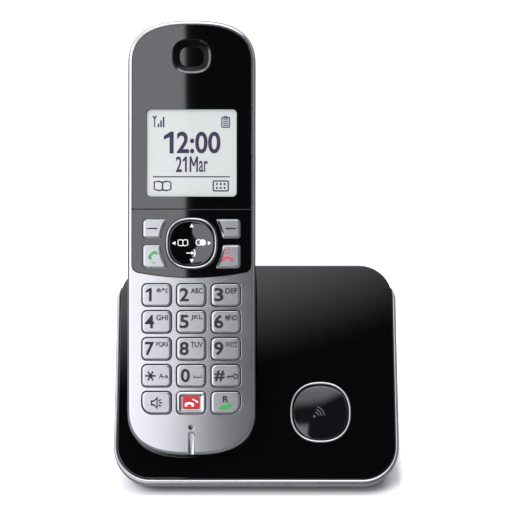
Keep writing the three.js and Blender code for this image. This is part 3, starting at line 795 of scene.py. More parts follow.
def battery_lid():
    """The sliding battery cover with its thumb ridges."""
    back = -HANDSET_THICKNESS
    bm = bmesh.new()
    outline = rounded(COVER["width"], COVER["high"] - COVER["low"], 2.7, 0,
                      (COVER["high"] + COVER["low"]) / 2)
    path = [(-0.46, back)] + [(grow, back - height) for grow, height in rolled(0, 0.4, 0.4, 4)]
    first, last = wall(bm, outline, path + [(0, back + COVER["thickness"])])
    fill(bm, first)
    fill(bm, last)
    lid = tool(bm)
    ridges = [prism_tool(rounded(14, 1.0, 0.45, 0, COVER["high"] - 7.5 - 2.2 * k, 5), back - 1, back + 0.5,
                         Matrix())
              for k in range(4)]
    combined(lid, "DIFFERENCE", *ridges)
    lid.name = lid.data.name = "battery_lid"
    adopted(lid, ON_HANDSET, satin_black(), "battery_cover", "battery_cover", slot="rear_black", smooth=30)
    return softened(lid, 0.12 * MM)


# ---------- black panels and the display ----------
def display_panel():
    """The upper gloss panel, with the opening for the display and the dished earpiece."""
    bm = bmesh.new()
    bottom = PANEL_TOP - 1.7
    edge = [(-0.2, PANEL_TOP)] + rolled(PANEL_TOP, 0.12, 0.12, 3) + [(0, bottom)]
    outer, outer_low = wall(bm, display_outline(PANEL_INSET + 0.12), edge)
    window = rounded(DISPLAY["width"], DISPLAY["height"], DISPLAY["corner"], 0, DISPLAY["y"])
    rim = [(0.2, PANEL_TOP), (0.12, PANEL_TOP), (0.1, PANEL_TOP - 0.01), (0.03, PANEL_TOP - 0.06),
           (0, PANEL_TOP - 0.15), (0, bottom)]
    window_top, window_low = wall(bm, window, rim)
    outline = earpiece_outline()
    ear_top = first_loop(bm, grown(outline, 0.2), PANEL_TOP)
    dish = next_loop(bm, ear_top, grown(outline, 0.1), PANEL_TOP)
    levels = [(0.0, -0.04), (0.05, -0.16), (0.3, -0.55), (0.62, -0.95), (0.9, -1.16), (1.0, -1.22)]
    inner = squircle(EARPIECE["open_width"] / 2, EARPIECE["open_height"] / 2, 2.7, 0, EARPIECE["y"])
    for share, height in levels:
        points = [tuple(Vector(a).lerp(Vector(b), share)) for a, b in zip(outline, inner)]
        dish = next_loop(bm, dish, points, height)
    dish = next_loop(bm, dish, inner, bottom)
    fill(bm, outer, window_top, ear_top)
    fill(bm, outer_low, window_low, dish)

    # Painted shade: the walls of the earpiece dish get the near-black finish, standing in for the shade inside the
    # recess.
    def dished(face):
        x, y, z = face.center
        inside = (abs(x) * 2 / EARPIECE["width"]) ** 2.7 + (abs(y - EARPIECE["y"]) * 2 / EARPIECE["height"]) ** 2.7
        lip = 0.8 if x > 3 or y < EARPIECE["y"] - 3 else 0.95
        return inside < lip and z > bottom + 0.05

    level(finished(bm, "display_panel", ON_HANDSET, piano_black(), "handset", "display_window",
                   slot="panel_black",
                   painted_shade=dished))


def earpiece_grille():
    """The gloss plate at the bottom of the earpiece, set in from its walls."""
    bm = bmesh.new()
    outline = squircle(EARPIECE["open_width"] / 2 + 0.6, EARPIECE["open_height"] / 2 + 0.6, 3.2, 0,
                       EARPIECE["y"], 64)
    plate(bm, outline, [], -bpy.context.scene.telephone_sizes.ear_depth, -2.0, 0.05)
    level(finished(bm, "earpiece_grille", ON_HANDSET, piano_black(), "handset", slot="panel_black"))


def navigation_fascia():
    """The lower gloss panel, with openings for the ring and the four keys around it."""
    bm = bmesh.new()
    holes = [ring_outline(RING_HALF + 0.12)]
    holes += [grown(menu_outline(side, low, high), GAP * 0.8) for name, side, low, high in MENU_KEYS]
    plate(bm, navigation_outline(PANEL_INSET + 0.12), holes, PANEL_TOP, PANEL_TOP - 1.7, 0.12, 0.1)
    level(finished(bm, "navigation_fascia", ON_HANDSET, piano_black(), "handset", "navigation_panel",
                   slot="panel_black"))


def display_face():
    """The pale face of the display, set a little below the panel."""
    bm = bmesh.new()
    top = PANEL_TOP - DISPLAY["depth"]
    outline = rounded(DISPLAY["width"] + 0.8, DISPLAY["height"] + 0.8, DISPLAY["corner"] + 0.4, 0,
                      DISPLAY["y"])
    plate(bm, outline, [], top, top - 0.5, 0.1)
    finished(bm, "display_face", ON_HANDSET, display_glow(), "handset", slot="display_glass")


# ---------- navigation ring and keys ----------
def ring_piece():
    """The plated ring round the navigation key."""
    bm = bmesh.new()
    path = [(-RING_WIDTH, -1.6), (0, -1.6), (0, 0.2), (-0.05, 0.42), (-0.17, 0.56), (-0.34, 0.62),
            (-0.5, 0.6),
            (-0.66, 0.5), (-0.79, 0.32), (-RING_WIDTH, 0.1)]
    first, last = wall(bm, ring_outline(RING_HALF), path)
    bmesh.ops.bridge_loops(bm, edges=loop_edges(first) + loop_edges(last))
    finished(bm, "navigation_ring", ON_HANDSET, plated_silver(), "handset", "nav_ring", slot="ring_silver")


NAV_RIM, NAV_DISH, NAV_HALF = 0.5, 0.42, RING_HALF - RING_WIDTH - 0.25


def nav_height(x, y):
    """The height of the dished navigation key."""
    away = min(1.0, ((x * x + (y - NAV_Y) ** 2) ** 0.5) / NAV_HALF)
    return NAV_RIM - NAV_DISH * (1 - away ** 4)


def navigation_key():
    """The gloss navigation key, dished towards its middle."""
    bm = bmesh.new()
    outline = ring_outline(NAV_HALF)
    first, last = wall(bm, outline, [(0, -3)] + [(g, h) for g, h in reversed(rolled(NAV_RIM, 0.3, 0.3, 4))])
    for share in (0.93, 0.88, 0.8, 0.7, 0.6, 0.5, 0.4, 0.3, 0.2, 0.1, 0.03):
        last = next_loop(bm, last, ring_outline(NAV_HALF * share), nav_height)
    fill(bm, first)
    fill(bm, last)
    finished(bm, "navigation_key", ON_HANDSET, piano_black(), "nav_key", "nav_key", slot="panel_black")


def key_body(bm, outline, top, flat_inset, crown=0.05, roll=0.18):
    """A key: a flange under the casing, straight sides, a rolled edge and a softly sloped margin."""
    path = [(0.7, KEY_BOTTOM), (0.7, KEY_BOTTOM + 0.8), (0, KEY_BOTTOM + 0.8)]
    path += [(g, h) for g, h in reversed(rolled(top - crown, roll, roll, 5))]
    path += [(-roll - 0.15, top - crown * 0.72), (-(roll + flat_inset) / 2, top - crown * 0.25),
             (-flat_inset + 0.15, top - crown * 0.03), (-flat_inset, top)]
    path += [(-flat_inset - 0.06, top)]
    first, last = wall(bm, outline, path)
    fill(bm, first)
    fill(bm, last)


def digit_keys():
    """The twelve digit keys and the two plain keys below them."""
    shrink = bpy.context.scene.telephone_sizes.key_shrink
    for name in KEY_CENTRES:
        if name == "call_block_key":
            continue
        bm = bmesh.new()
        key_body(bm, grown(digit_outline(name), -shrink), KEY_TOP, 0.75)
        # Painted shade: each key's sides get the near-black finish, standing in for the dark shaded gap round the
        # key.
        level(finished(bm, name + "_cap", ON_HANDSET, key_silver(), name, name, slot="key_silver", smooth=50,
                       painted_shade=lambda face: face.center.z < KEY_TOP - 0.2))


def menu_keys():
    """The four silver keys beside the navigation ring."""
    for name, side, low, high in MENU_KEYS:
        bm = bmesh.new()
        key_body(bm, menu_outline(side, low, high), 0.5, 0.62, 0.05, 0.25)
        level(finished(bm, name + "_cap", ON_HANDSET, key_silver(), name, name, slot="key_silver", smooth=50))


def block_key():
    """The call block key: a plated rim round a red printed plate."""
    x, y = KEY_CENTRES["call_block_key"]
    bm = bmesh.new()
    path = [(0.7, KEY_BOTTOM), (0.7, KEY_BOTTOM + 0.8), (0, KEY_BOTTOM + 0.8)]
    path += [(g, h) for g, h in reversed(rolled(KEY_TOP, 0.7, 0.55, 7))]
    path += [(-1.1, KEY_TOP - 0.03), (-1.5, KEY_TOP - 0.12), (-1.75, KEY_TOP - 0.24), (-1.81, KEY_TOP - 0.24)]
    first, last = wall(bm, digit_outline("call_block_key"), path)
    fill(bm, first)
    fill(bm, last)
    finished(bm, "call_block_key_cap", ON_HANDSET, plated_silver(), "call_block_key", "call_block_key",
             slot="key_silver", smooth=50)
    bm = bmesh.new()
    plate(bm, rounded(6.5, 4.9, 1.1, x, y), [], KEY_TOP - 0.16, KEY_TOP - 0.3, 0.06)
    finished(bm, "call_block_plate", ON_HANDSET, ink("red", (0.42, 0.02, 0.03), 0.35), "call_block_key")


# ---------- printed marks ----------
PRINT = 0.03  # thickness of a printed mark


def lettering(text, left, bottom, width, height, level, bold=0.0):
    """Text fitted to a box, as a thin mesh in local millimetres."""
    curve = bpy.data.curves.new("lettering", "FONT")
    curve.body = text
    curve.offset = bold
    curve.resolution_u = 6
    curve.extrude = 0.5
    carrier = bpy.data.objects.new("lettering", curve)
    bpy.context.scene.collection.objects.link(carrier)
    bpy.context.view_layer.update()
    mesh = bpy.data.meshes.new_from_object(carrier.evaluated_get(bpy.context.evaluated_depsgraph_get()))
    bpy.data.objects.remove(carrier)
    xs = [v.co.x for v in mesh.vertices]
    ys = [v.co.y for v in mesh.vertices]
    across, up = width / (max(xs) - min(xs)), height / (max(ys) - min(ys))
    mesh.transform(Matrix.Translation((left, bottom, level)) @ Matrix.Diagonal((across, up, PRINT, 1))
                   @ Matrix.Translation((-min(xs), -min(ys), 0.5)))
    return mesh


def band(points, width, closed=False):
    """The outline of a stroke of even width along a few points."""
    left, right = [], []
    for i, point in enumerate(points):
        before = Vector(points[i - 1]) if i or closed else None
        after = Vector(points[(i + 1) % len(points)]) if i < len(points) - 1 or closed else None
        here = Vector(point)
        tangent = ((after if after is not None else here) - (before if before is not None else here)).normalized()
        side = Vector((-tangent.y, tangent.x)) * width / 2
        left.append(tuple(here + side))
        right.append(tuple(here - side))
    return left, right


def stroke(bm, points, width, level):
    left, right = band(points, width)
    slab(bm, right + left[::-1], level, level + PRINT)


def hoop(bm, outline, width, level):
    """A closed outline drawn with an even stroke."""
    outer, inner = grown(outline, width / 2), grown(outline, -width / 2)
    loops = [first_loop(bm, outer, level)]
    for points, height in ((outer, level + PRINT), (inner, level + PRINT), (inner, level)):
        loops.append(next_loop(bm, loops[-1], points, height))
    bmesh.ops.bridge_loops(bm, edges=loop_edges(loops[0]) + loop_edges(loops[-1]))


def arc(x, y, radius, start, end, steps=12):
    angles = [math.radians(start + (end - start) * k / steps) for k in range(steps + 1)]
    return [(x + radius * math.cos(a), y + radius * math.sin(a)) for a in angles]


def triangle(bm, x, y, size, turn, level):
    slab(bm, arc(x, y, size, turn, turn + 240, 2), level, level + PRINT)


def printed(bm, name, place, material, body):
    return finished(bm, name, place, material, body, smooth=30)


def lettered(mesh, name, material, body):
    return adopted(bpy.data.objects.new(name, mesh), ON_HANDSET, material, body, smooth=30)


def figure_one(bm, left, bottom, width, height, weight, level):
    """The figure 1 with its flag."""
    right, top = left + width, bottom + height
    stem = right - weight
    slab(bm, [(stem, bottom), (right, bottom), (right, top), (right - weight * 0.75, top),
              (left, top - height * 0.2),
              (left, top - height * 0.37), (stem, top - height * 0.25)], level, level + PRINT)


def receiver(bm, x, y, width, turn, level):
    """A small telephone receiver: a bent bar with a block at each end."""
    spin = Matrix.Rotation(math.radians(turn), 2)
    half = width / 2
    shape = [(-half, -0.25 * width), (-half * 0.98, 0.02 * width)]
    shape += [(half * math.cos(a), 0.02 * width + 0.2 * width * math.sin(a)) for a in
              [math.pi * (8 - k) / 8 for k in range(1, 8)]]
    shape += [(half * 0.98, 0.02 * width), (half, -0.25 * width), (half * 0.5, -0.25 * width),
              (half * 0.46, -0.02 * width), (-half * 0.46, -0.02 * width), (-half * 0.5, -0.25 * width)]
    slab(bm, [tuple(spin @ Vector(p) + Vector((x, y))) for p in shape], level, level + PRINT)


def open_book(bm, x, y, width, height, weight, level):
    """An open book drawn in line."""
    for side in (-1, 1):
        page = [(x, y - height * 0.42), (x + side * width * 0.22, y - height * 0.5),
                (x + side * width * 0.5, y - height * 0.38), (x + side * width * 0.5, y + height * 0.42),
                (x + side * width * 0.22, y + height * 0.5), (x, y + height * 0.36)]
        stroke(bm, page, weight, level)
    stroke(bm, [(x, y - height * 0.5), (x, y + height * 0.4)], weight, level)


LETTERS = {"key_1": "&*(", "key_2": "ABC", "key_3": "DEF", "key_4": "GHI", "key_5": "JKL", "key_6": "MNO",
           "key_7": "PQRS", "key_8": "TUV", "key_9": "WXYZ", "key_star": "A-a"}
DIGITS = {"key_star": "*", "key_0": "0", "key_hash": "#"}


def key_legends():
    """The digits and letters printed on the keys, and the small marks on the others."""
    level = KEY_TOP + 0.004
    black = ink("black", (0.012, 0.012, 0.014))
    for name, (x, y) in KEY_CENTRES.items():
        left, top = x - KEY_WIDTH / 2, y + KEY_HEIGHT / 2
        if name in LETTERS or name in DIGITS:
            digit = DIGITS.get(name, name[-1])
            if digit == "1":
                bm = bmesh.new()
                figure_one(bm, left + 1.3, top - 6.45, 2.2, 5.0, 1.0, level)
                printed(bm, name + "_digit", ON_HANDSET, black, name)
            elif digit == "*":
                bm = bmesh.new()
                for turn in (0, 60, 120):
                    reach = 1.95 * Vector((math.cos(math.radians(turn)), math.sin(math.radians(turn))))
                    middle = Vector((left + 3.1, y))
                    stroke(bm, [tuple(middle - reach), tuple(middle + reach)], 0.62, level + turn * 0.0001)
                printed(bm, name + "_digit", ON_HANDSET, black, name)
            elif digit == "#":
                mesh = lettering(digit, left + 1.1, y - 2.0, 3.9, 4.0, level, 0.03)
                lettered(mesh, name + "_digit", black, name)
            else:
                mesh = lettering(digit, left + (1.5 if digit == "0" else 1.05), top - 6.45, 3.4, 5.0, level,
                                 0.024)
                lettered(mesh, name + "_digit", black, name)
        if name in LETTERS:
            low, width, height = (y - 0.9, 3.4, 1.8) if name == "key_star" else (top - 3.5, 4.45, 2.05)
            mesh = lettering(LETTERS[name], left + KEY_WIDTH - 1.15 - width, low, width, height, level, 0.022)
            lettered(mesh, name + "_letters", black, name)
    bm = bmesh.new()
    x, y = KEY_CENTRES["key_0"]
    stroke(bm, [(x + 1.0, y + 0.3), (x + 1.0, y - 0.5), (x + 3.8, y - 0.5), (x + 3.8, y + 0.3)], 0.42, level)
    printed(bm, "key_0_space_mark", ON_HANDSET, black, "key_0")
    bm = bmesh.new()
    x, y = KEY_CENTRES["key_hash"]
    hoop(bm, squircle(0.8, 0.8, 2, x + 3.6, y - 0.1, 20), 0.42, level)
    stroke(bm, [(x + 0.5, y - 0.1), (x + 2.8, y - 0.1)], 0.42, level)
    stroke(bm, [(x + 0.7, y - 0.1), (x + 0.7, y - 0.9)], 0.42, level)
    stroke(bm, [(x + 1.5, y - 0.1), (x + 1.5, y - 0.9)], 0.42, level)
    printed(bm, "key_hash_key_mark", ON_HANDSET, black, "key_hash")
    bm = bmesh.new()
    x, y = KEY_CENTRES["key_5"]
    bmesh.ops.create_uvsphere(bm, u_segments=20, v_segments=10, radius=0.42,
                              matrix=Matrix.Translation((x + 2.1, y - 1.6, KEY_TOP)) @ Matrix.Diagonal((1,
                                                                                                        1, 0.6, 1)))
    finished(bm, "key_5_nib", ON_HANDSET, key_silver(), "key_5", slot="key_silver")
    bm = bmesh.new()
    x, y = KEY_CENTRES["speaker_key"]
    hoop(bm, [(x - 1.9, y - 0.7), (x - 1.0, y - 0.7), (x + 0.2, y - 1.8), (x + 0.2, y + 1.8),
              (x - 1.0, y + 0.7),
              (x - 1.9, y + 0.7)], 0.55, level)
    for turn in (-40, 0, 40):
        away = Vector((math.cos(math.radians(turn)), math.sin(math.radians(turn))))
        stroke(bm, [tuple(Vector((x, y)) + away), tuple(Vector((x, y)) + 2.1 * away)], 0.55, level)
    printed(bm, "speaker_mark", ON_HANDSET, black, "speaker_key")
    x, y = KEY_CENTRES["recall_key"]
    lettered(lettering("R", x - 1.1, y + 0.2, 2.2, 2.4, level, 0.03), "recall_letter", black, "recall_key")
    bm = bmesh.new()
    leaf = quadratic((x - 2.7, y - 2.5), (x - 1.9, y - 0.2), (x + 2.7, y - 0.5), 8)
    leaf += quadratic((x + 2.7, y - 0.5), (x + 1.9, y - 3.0), (x - 2.7, y - 2.5), 8)
    slab(bm, leaf, level, level + PRINT)
    printed(bm, "leaf_mark", ON_HANDSET, ink("green", (0.03, 0.3, 0.08)), "recall_key")
    bm = bmesh.new()
    x, y = KEY_CENTRES["call_block_key"]
    plate_level = KEY_TOP - 0.155
    receiver(bm, x - 0.7, y - 0.5, 3.4, 0, plate_level)
    stroke(bm, [(x + 0.4, y + 1.4), (x + 2.1, y + 0.5)], 0.36, plate_level)
    triangle(bm, x + 2.2, y + 0.4, 0.6, -30, plate_level)
    printed(bm, "call_block_mark", ON_HANDSET, ink("white", (0.8, 0.8, 0.8)), "call_block_key")


def menu_marks():
    """The dashes on the upper keys and the coloured receivers on the lower ones."""
    level = 0.5 + 0.004
    black = ink("black", (0.012, 0.012, 0.014))
    for side, name in ((-1, "soft_key_left"), (1, "soft_key_right")):
        bm = bmesh.new()
        stroke(bm, [(side * 14.7 - 1.95, 84.75), (side * 14.7 + 1.95, 84.75)], 0.5, level)
        printed(bm, name + "_dash", ON_HANDSET, black, name)
    bm = bmesh.new()
    receiver(bm, -14.6, 74.9, 3.9, 42, level)
    stroke(bm, [(-14.9, 71.9), (-13.4, 71.9)], 0.35, level)
    printed(bm, "talk_mark", ON_HANDSET, ink("green", (0.03, 0.3, 0.08)), "talk_key")
    bm = bmesh.new()
    receiver(bm, 13.5, 73.4, 4.0, 0, level)
    printed(bm, "off_mark", ON_HANDSET, ink("rose", (0.5, 0.05, 0.08)), "off_key")
    bm = bmesh.new()
    stroke(bm, arc(13.6, 76.3, 0.75, 125, 415, 14), 0.28, level)
    stroke(bm, [(13.6, 76.3), (13.6, 77.3)], 0.28, level)
    printed(bm, "power_mark", ON_HANDSET, ink("rose", (0.5, 0.05, 0.08)), "off_key")


def navigation_marks():
    """The white marks printed on the dished navigation key."""
    bm = bmesh.new()
    for x, y, turn in ((0.1, 6.45, 90), (0.1, -6.35, -90), (-6.4, 0.05, 180), (6.55, 0.1, 0)):
        triangle(bm, x, NAV_Y + y, 0.85, turn, 0)
    open_book(bm, -3.2, NAV_Y + 0.25, 3.6, 2.3, 0.3, 0)
    hoop(bm, squircle(1.05, 1.05, 2, 2.75, NAV_Y + 0.35, 24), 0.3, 0)
    slab(bm, squircle(1.15, 1.15, 2, 4.25, NAV_Y + 0.35, 24), 0, PRINT)
    stroke(bm, [(-1.9, NAV_Y - 3.6), (0.2, NAV_Y - 3.6)], 0.36, 0)
    triangle(bm, 0.35, NAV_Y - 3.6, 0.75, 0, 0)
    stroke(bm, arc(-0.6, NAV_Y - 3.6, 1.95, -42, 42), 0.34, 0)
    for vert in bm.verts:
        vert.co.z += nav_height(vert.co.x, vert.co.y) + 0.012
    printed(bm, "navigation_marks", ON_HANDSET, ink("white", (0.8, 0.8, 0.8)), "nav_key")


def display_marks():
    """The clock, the date and the small signs on the display."""
    level = PANEL_TOP - DISPLAY["depth"] + 0.004
    violet = ink("violet", (0.028, 0.016, 0.055), 0.6)
    middle = DISPLAY["y"]
    lettered(lettering("2:00", -5.6, middle - 0.17, 16.4, 8.2, level, 0.022), "clock_digits", violet,
             "handset")
    lettered(lettering("2", -5.96, middle - 7.16, 2.3, 5.9, level, 0.02), "date_digit", violet, "handset")
    lettered(lettering("ar", 2.75, middle - 7.2, 3.3, 4.3, level, 0.012), "date_letters", violet, "handset")
    bm = bmesh.new()
    figure_one(bm, -10.45, middle - 0.17, 3.7, 8.2, 1.55, level)
    figure_one(bm, -3.3, middle - 7.16, 1.5, 5.9, 0.72, level)
    for x in (-0.45, 2.05):
        stroke(bm, [(x, middle - 7.16), (x, middle - 1.26)], 0.66, level)
    for side in (-1, 1):
        stroke(bm, [(0.8 + side * 1.2, middle - 1.5), (0.8, middle - 4.9)], 0.6, level + 0.002 * (side + 2))
    stroke(bm, [(-14.5, middle - 8.92), (14.4, middle - 8.92)], 0.42, level)
    stroke(bm, [(-13.9, middle + 9.7), (-13.9, middle + 13.9)], 0.42, level)
    stroke(bm, [(-14.6, middle + 14.0), (-13.9, middle + 12.4), (-13.2, middle + 14.0)], 0.42, level)
    for bar, height in enumerate((1.3, 2.5, 3.8)):
        x = -12.75 + 0.95 * bar
        slab(bm, [(x, middle + 9.7), (x + 0.62, middle + 9.7), (x + 0.62, middle + 9.7 + height),
                  (x, middle + 9.7 + height)], level, level + PRINT)
    hoop(bm, rounded(2.9, 3.7, 0.3, 12.75, middle + 11.5, 3), 0.42, level)
    stroke(bm, [(12.1, middle + 13.65), (13.4, middle + 13.65)], 0.5, level)
    for stripe in range(4):
        y = middle + 10.35 + 0.8 * stripe
        stroke(bm, [(11.75, y), (13.75, y)], 0.42, level)
    open_book(bm, -10.9, middle - 12.35, 6.2, 3.5, 0.55, level)
    hoop(bm, rounded(5.6, 3.7, 0.3, 10.9, middle - 12.35, 4), 0.5, level)
    for column in (-1, 0, 1):
        for row in (-1, 1):
            slab(bm, squircle(0.42, 0.42, 2, 10.9 + 1.45 * column, middle - 12.35 + 0.72 * row, 12), level,
                 level + PRINT)
    printed(bm, "display_signs", ON_HANDSET, violet, "handset")


# ---------- base ----------
TO_FACE = ON_FACE.inverted() @ ON_HANDSET


def face_outline(grow=0.0):
    height = FACE["top"] - FACE["bottom"]
    corner = FACE["corner"] + grow
    return rounded(FACE["width"] + 2 * grow, height + 2 * grow, corner, 0,
                   (FACE["top"] + FACE["bottom"]) / 2, 16)


def cradle_tool(grow, steps=9):
    """The space the handset needs as it is lifted out, in the face's frame."""
    return tool(rear_body(grow, 40, 60, 6 + grow, steps), TO_FACE)


def base_face():
    """The gloss face of the base with the cradle and the seat of the locator button."""
    bottom = -FACE["thickness"]
    bm = bmesh.new()
    edge = [(-0.4, 0.0)] + rolled(0, 0.3, 0.3, 4) + [(0, -TRIM_DEPTH), (-1.5, -TRIM_DEPTH), (-1.5, bottom)]
    first, last = wall(bm, face_outline(), edge)
    fill(bm, first)
    fill(bm, last)
    face = tool(bm)
    tub = cradle_tool(TUB_CLEARANCE + TUB_WALL)
    combined(tub, "INTERSECT", prism_tool(face_outline(-0.5), -60, bottom + 0.5, Matrix()))
    x, y = LOCATOR["x"], LOCATOR["y"]
    ledge = cylinder_tool(LOCATOR["ring"] + 1.8, -4.4, bottom + 0.2, x, y, Matrix(), 96)
    combined(face, "UNION", tub, ledge)
    cuts = [prism_tool(locator_outline(LOCATOR["ring"] + GAP * 0.6), -2.5, 1, Matrix()),
            prism_tool(locator_outline(LOCATOR["key"] + GAP), -6, 1, Matrix()),
            cradle_tool(TUB_CLEARANCE)]
    for side in (-1, 1):
        cuts.append(box_tool((side * 9 - 1.8, -6, -10.3), (side * 9 + 1.8, 2, -6.7), TO_FACE))
        cuts.append(box_tool((side * 9 - 2.6, -6, -11.1), (side * 9 + 2.6, -1.85, -5.9), TO_FACE))
    combined(face, "DIFFERENCE", *cuts)
    face.name = face.data.name = "base_face"
    adopted(face, ON_FACE, piano_black(), "base", "base_front_cover", slot="base_black", smooth=30)
    return softened(face, 0.35 * MM, 50, 3)


def trim_band():
    """The silver band round the sides and the lower end of the face. It thins out towards the top corners."""
    sizes = bpy.context.scene.telephone_sizes
    inner = grown(face_outline(), 0.12)
    corner = FACE["top"] - FACE["corner"]
    left = [p for p in inner if p[0] < 0 and p[1] < corner + 4.5]
    left.sort(key=lambda p: (-p[1], p[0]))
    rise = [(-FACE["width"] / 2 - 0.12, corner * (1 - k / 6) + 16 * k / 6) for k in range(1, 6)]
    low_left = [p for p in left if p[1] < 20]
    high_left = [p for p in left if p[1] >= 20]
    low_left.sort(key=lambda p: p[0])
    inner = high_left + rise + low_left
    inner += [(-x, y) for x, y in reversed(inner)]
    outer = []
    for i, (x, y) in enumerate(inner):
        before, after = inner[max(i - 1, 0)], inner[min(i + 1, len(inner) - 1)]
        tangent = (Vector(after) - Vector(before)).normalized()
        normal = Vector((tangent.y, -tangent.x))
        thick = sizes.trim_width + sizes.trim_foot * max(0.0, -normal.y) ** 2
        if y > corner:
            thick = sizes.trim_width * (1 - (y - corner) / 5) + 0.04
        outer.append((x + normal.x * thick, max(0.0, y + normal.y * thick)))
    bm = bmesh.new()
    profile = [(0, -TRIM_DEPTH), (0, -3.2), (0, -1.2), (0.05, -0.8), (0.15, -0.5), (0.34, -0.26),
               (0.58, -0.18), (0.76, -0.22),
               (0.9, -0.35), (0.97, -0.58), (1, -0.9), (1, -TRIM_DEPTH)]
    rows = []
    for share, height in profile:
        rows.append([bm.verts.new((*Vector(a).lerp(Vector(b), share), height)) for a, b in zip(outer, inner)])
    for low, high in zip(rows, rows[1:] + rows[:1]):
        for k in range(len(inner) - 1):
            bm.faces.new((low[k], low[k + 1], high[k + 1], high[k]))
    bm.faces.new([row[0] for row in rows])
    bm.faces.new([row[-1] for row in rows])
    # Painted shade: the back part of the band, deeper than 3.2 mm, gets the near-black finish, standing in for the
    # dark shade under the band, seen as a dark line under the face's lower edge.
    finished(bm, "trim_band", ON_FACE, trim_silver(), "base", "base_trim_frame", slot="trim_silver",
             smooth=40,
             painted_shade=lambda face: face.center.z < -3.2)


def locator_outline(half):
    return squircle(half, half, 2.3, LOCATOR["x"], LOCATOR["y"])


def locator_ring():
    """The plated ring of the locator button."""
    bm = bmesh.new()
    width = bpy.context.scene.telephone_sizes.ring_width
    path = [(-width, -2.2), (0, -2.2), (0, 0.1), (-0.06, 0.26), (-0.18, 0.38), (-0.3, 0.43), (-0.42, 0.44),
            (0.22 - width, 0.4), (0.1 - width, 0.27), (-width, 0.1)]
    first, last = wall(bm, locator_outline(LOCATOR["ring"] - 0.05), path)
    bmesh.ops.bridge_loops(bm, edges=loop_edges(first) + loop_edges(last))
    finished(bm, "locator_ring_cap", ON_FACE, plated_silver(), "base", "locator_ring", slot="ring_silver")


BUTTON_RIM, BUTTON_DOME = -0.55, 0.5


def locator_button():
    """The gently domed gloss button that makes the handset ring."""
    key = LOCATOR["key"]
    bm = bmesh.new()
    path = [(0.8, -5.7), (0.8, -4.8), (0, -4.8)] + list(reversed(rolled(BUTTON_RIM, 0.2, 0.2, 4)))
    first, last = wall(bm, locator_outline(key), path)
    for k in range(1, 16):
        share = 1 - k / 16
        height = BUTTON_RIM + BUTTON_DOME * (1 - share ** 2)
        last = next_loop(bm, last, locator_outline((key - 0.2) * share), height)
    fill(bm, first)
    fill(bm, last)
    finished(bm, "locator_button_cap", ON_FACE, button_black(), "locator_button", "locator_button",
             slot="button_black")


def locator_mark():
    """A small handset sign with three waves, printed on the button."""
    bm = bmesh.new()
    x, y = LOCATOR["x"] - 0.2, LOCATOR["y"] - 0.2
    slab(bm, squircle(0.55, 0.55, 2, x - 2.2, y - 1.3, 20), 0, PRINT)
    for radius in (1.6, 2.7, 3.8):
        stroke(bm, arc(x - 2.2, y - 1.3, radius, 5, 75), 0.45, 0)
    rim = LOCATOR["key"] - 0.2
    for vert in bm.verts:
        away = ((vert.co.x - LOCATOR["x"]) ** 2 + (vert.co.y - LOCATOR["y"]) ** 2) / rim ** 2
        vert.co.z += BUTTON_RIM + BUTTON_DOME * (1 - away) + 0.012
    printed(bm, "locator_mark", ON_FACE, ink("grey", (0.055, 0.055, 0.06), 0.4), "locator_button")


# ---------- parts that keep their frame shape ----------
def hidden_parts():
    """Gives every part that keeps its own shape a finish of its own."""
    slots = {part["node"]: part["material_slot"] for part in frame["record"]["subparts"]}
    for name, node in frame["nodes"].items():
        if node.hide_render:
            continue
        slot = slots.get(name, "inner_plastic")
        label, colour, rough, metal = HIDDEN_FINISHES.get(slot, HIDDEN_FINISHES["inner_plastic"])
        material = finish_material(label, colour, rough, metal, 2600, 0.25, 0.08, 0.05, 0.15)
        if not node.material_slots:
            node.data.materials.append(material)
        for place in node.material_slots:
            place.material = material


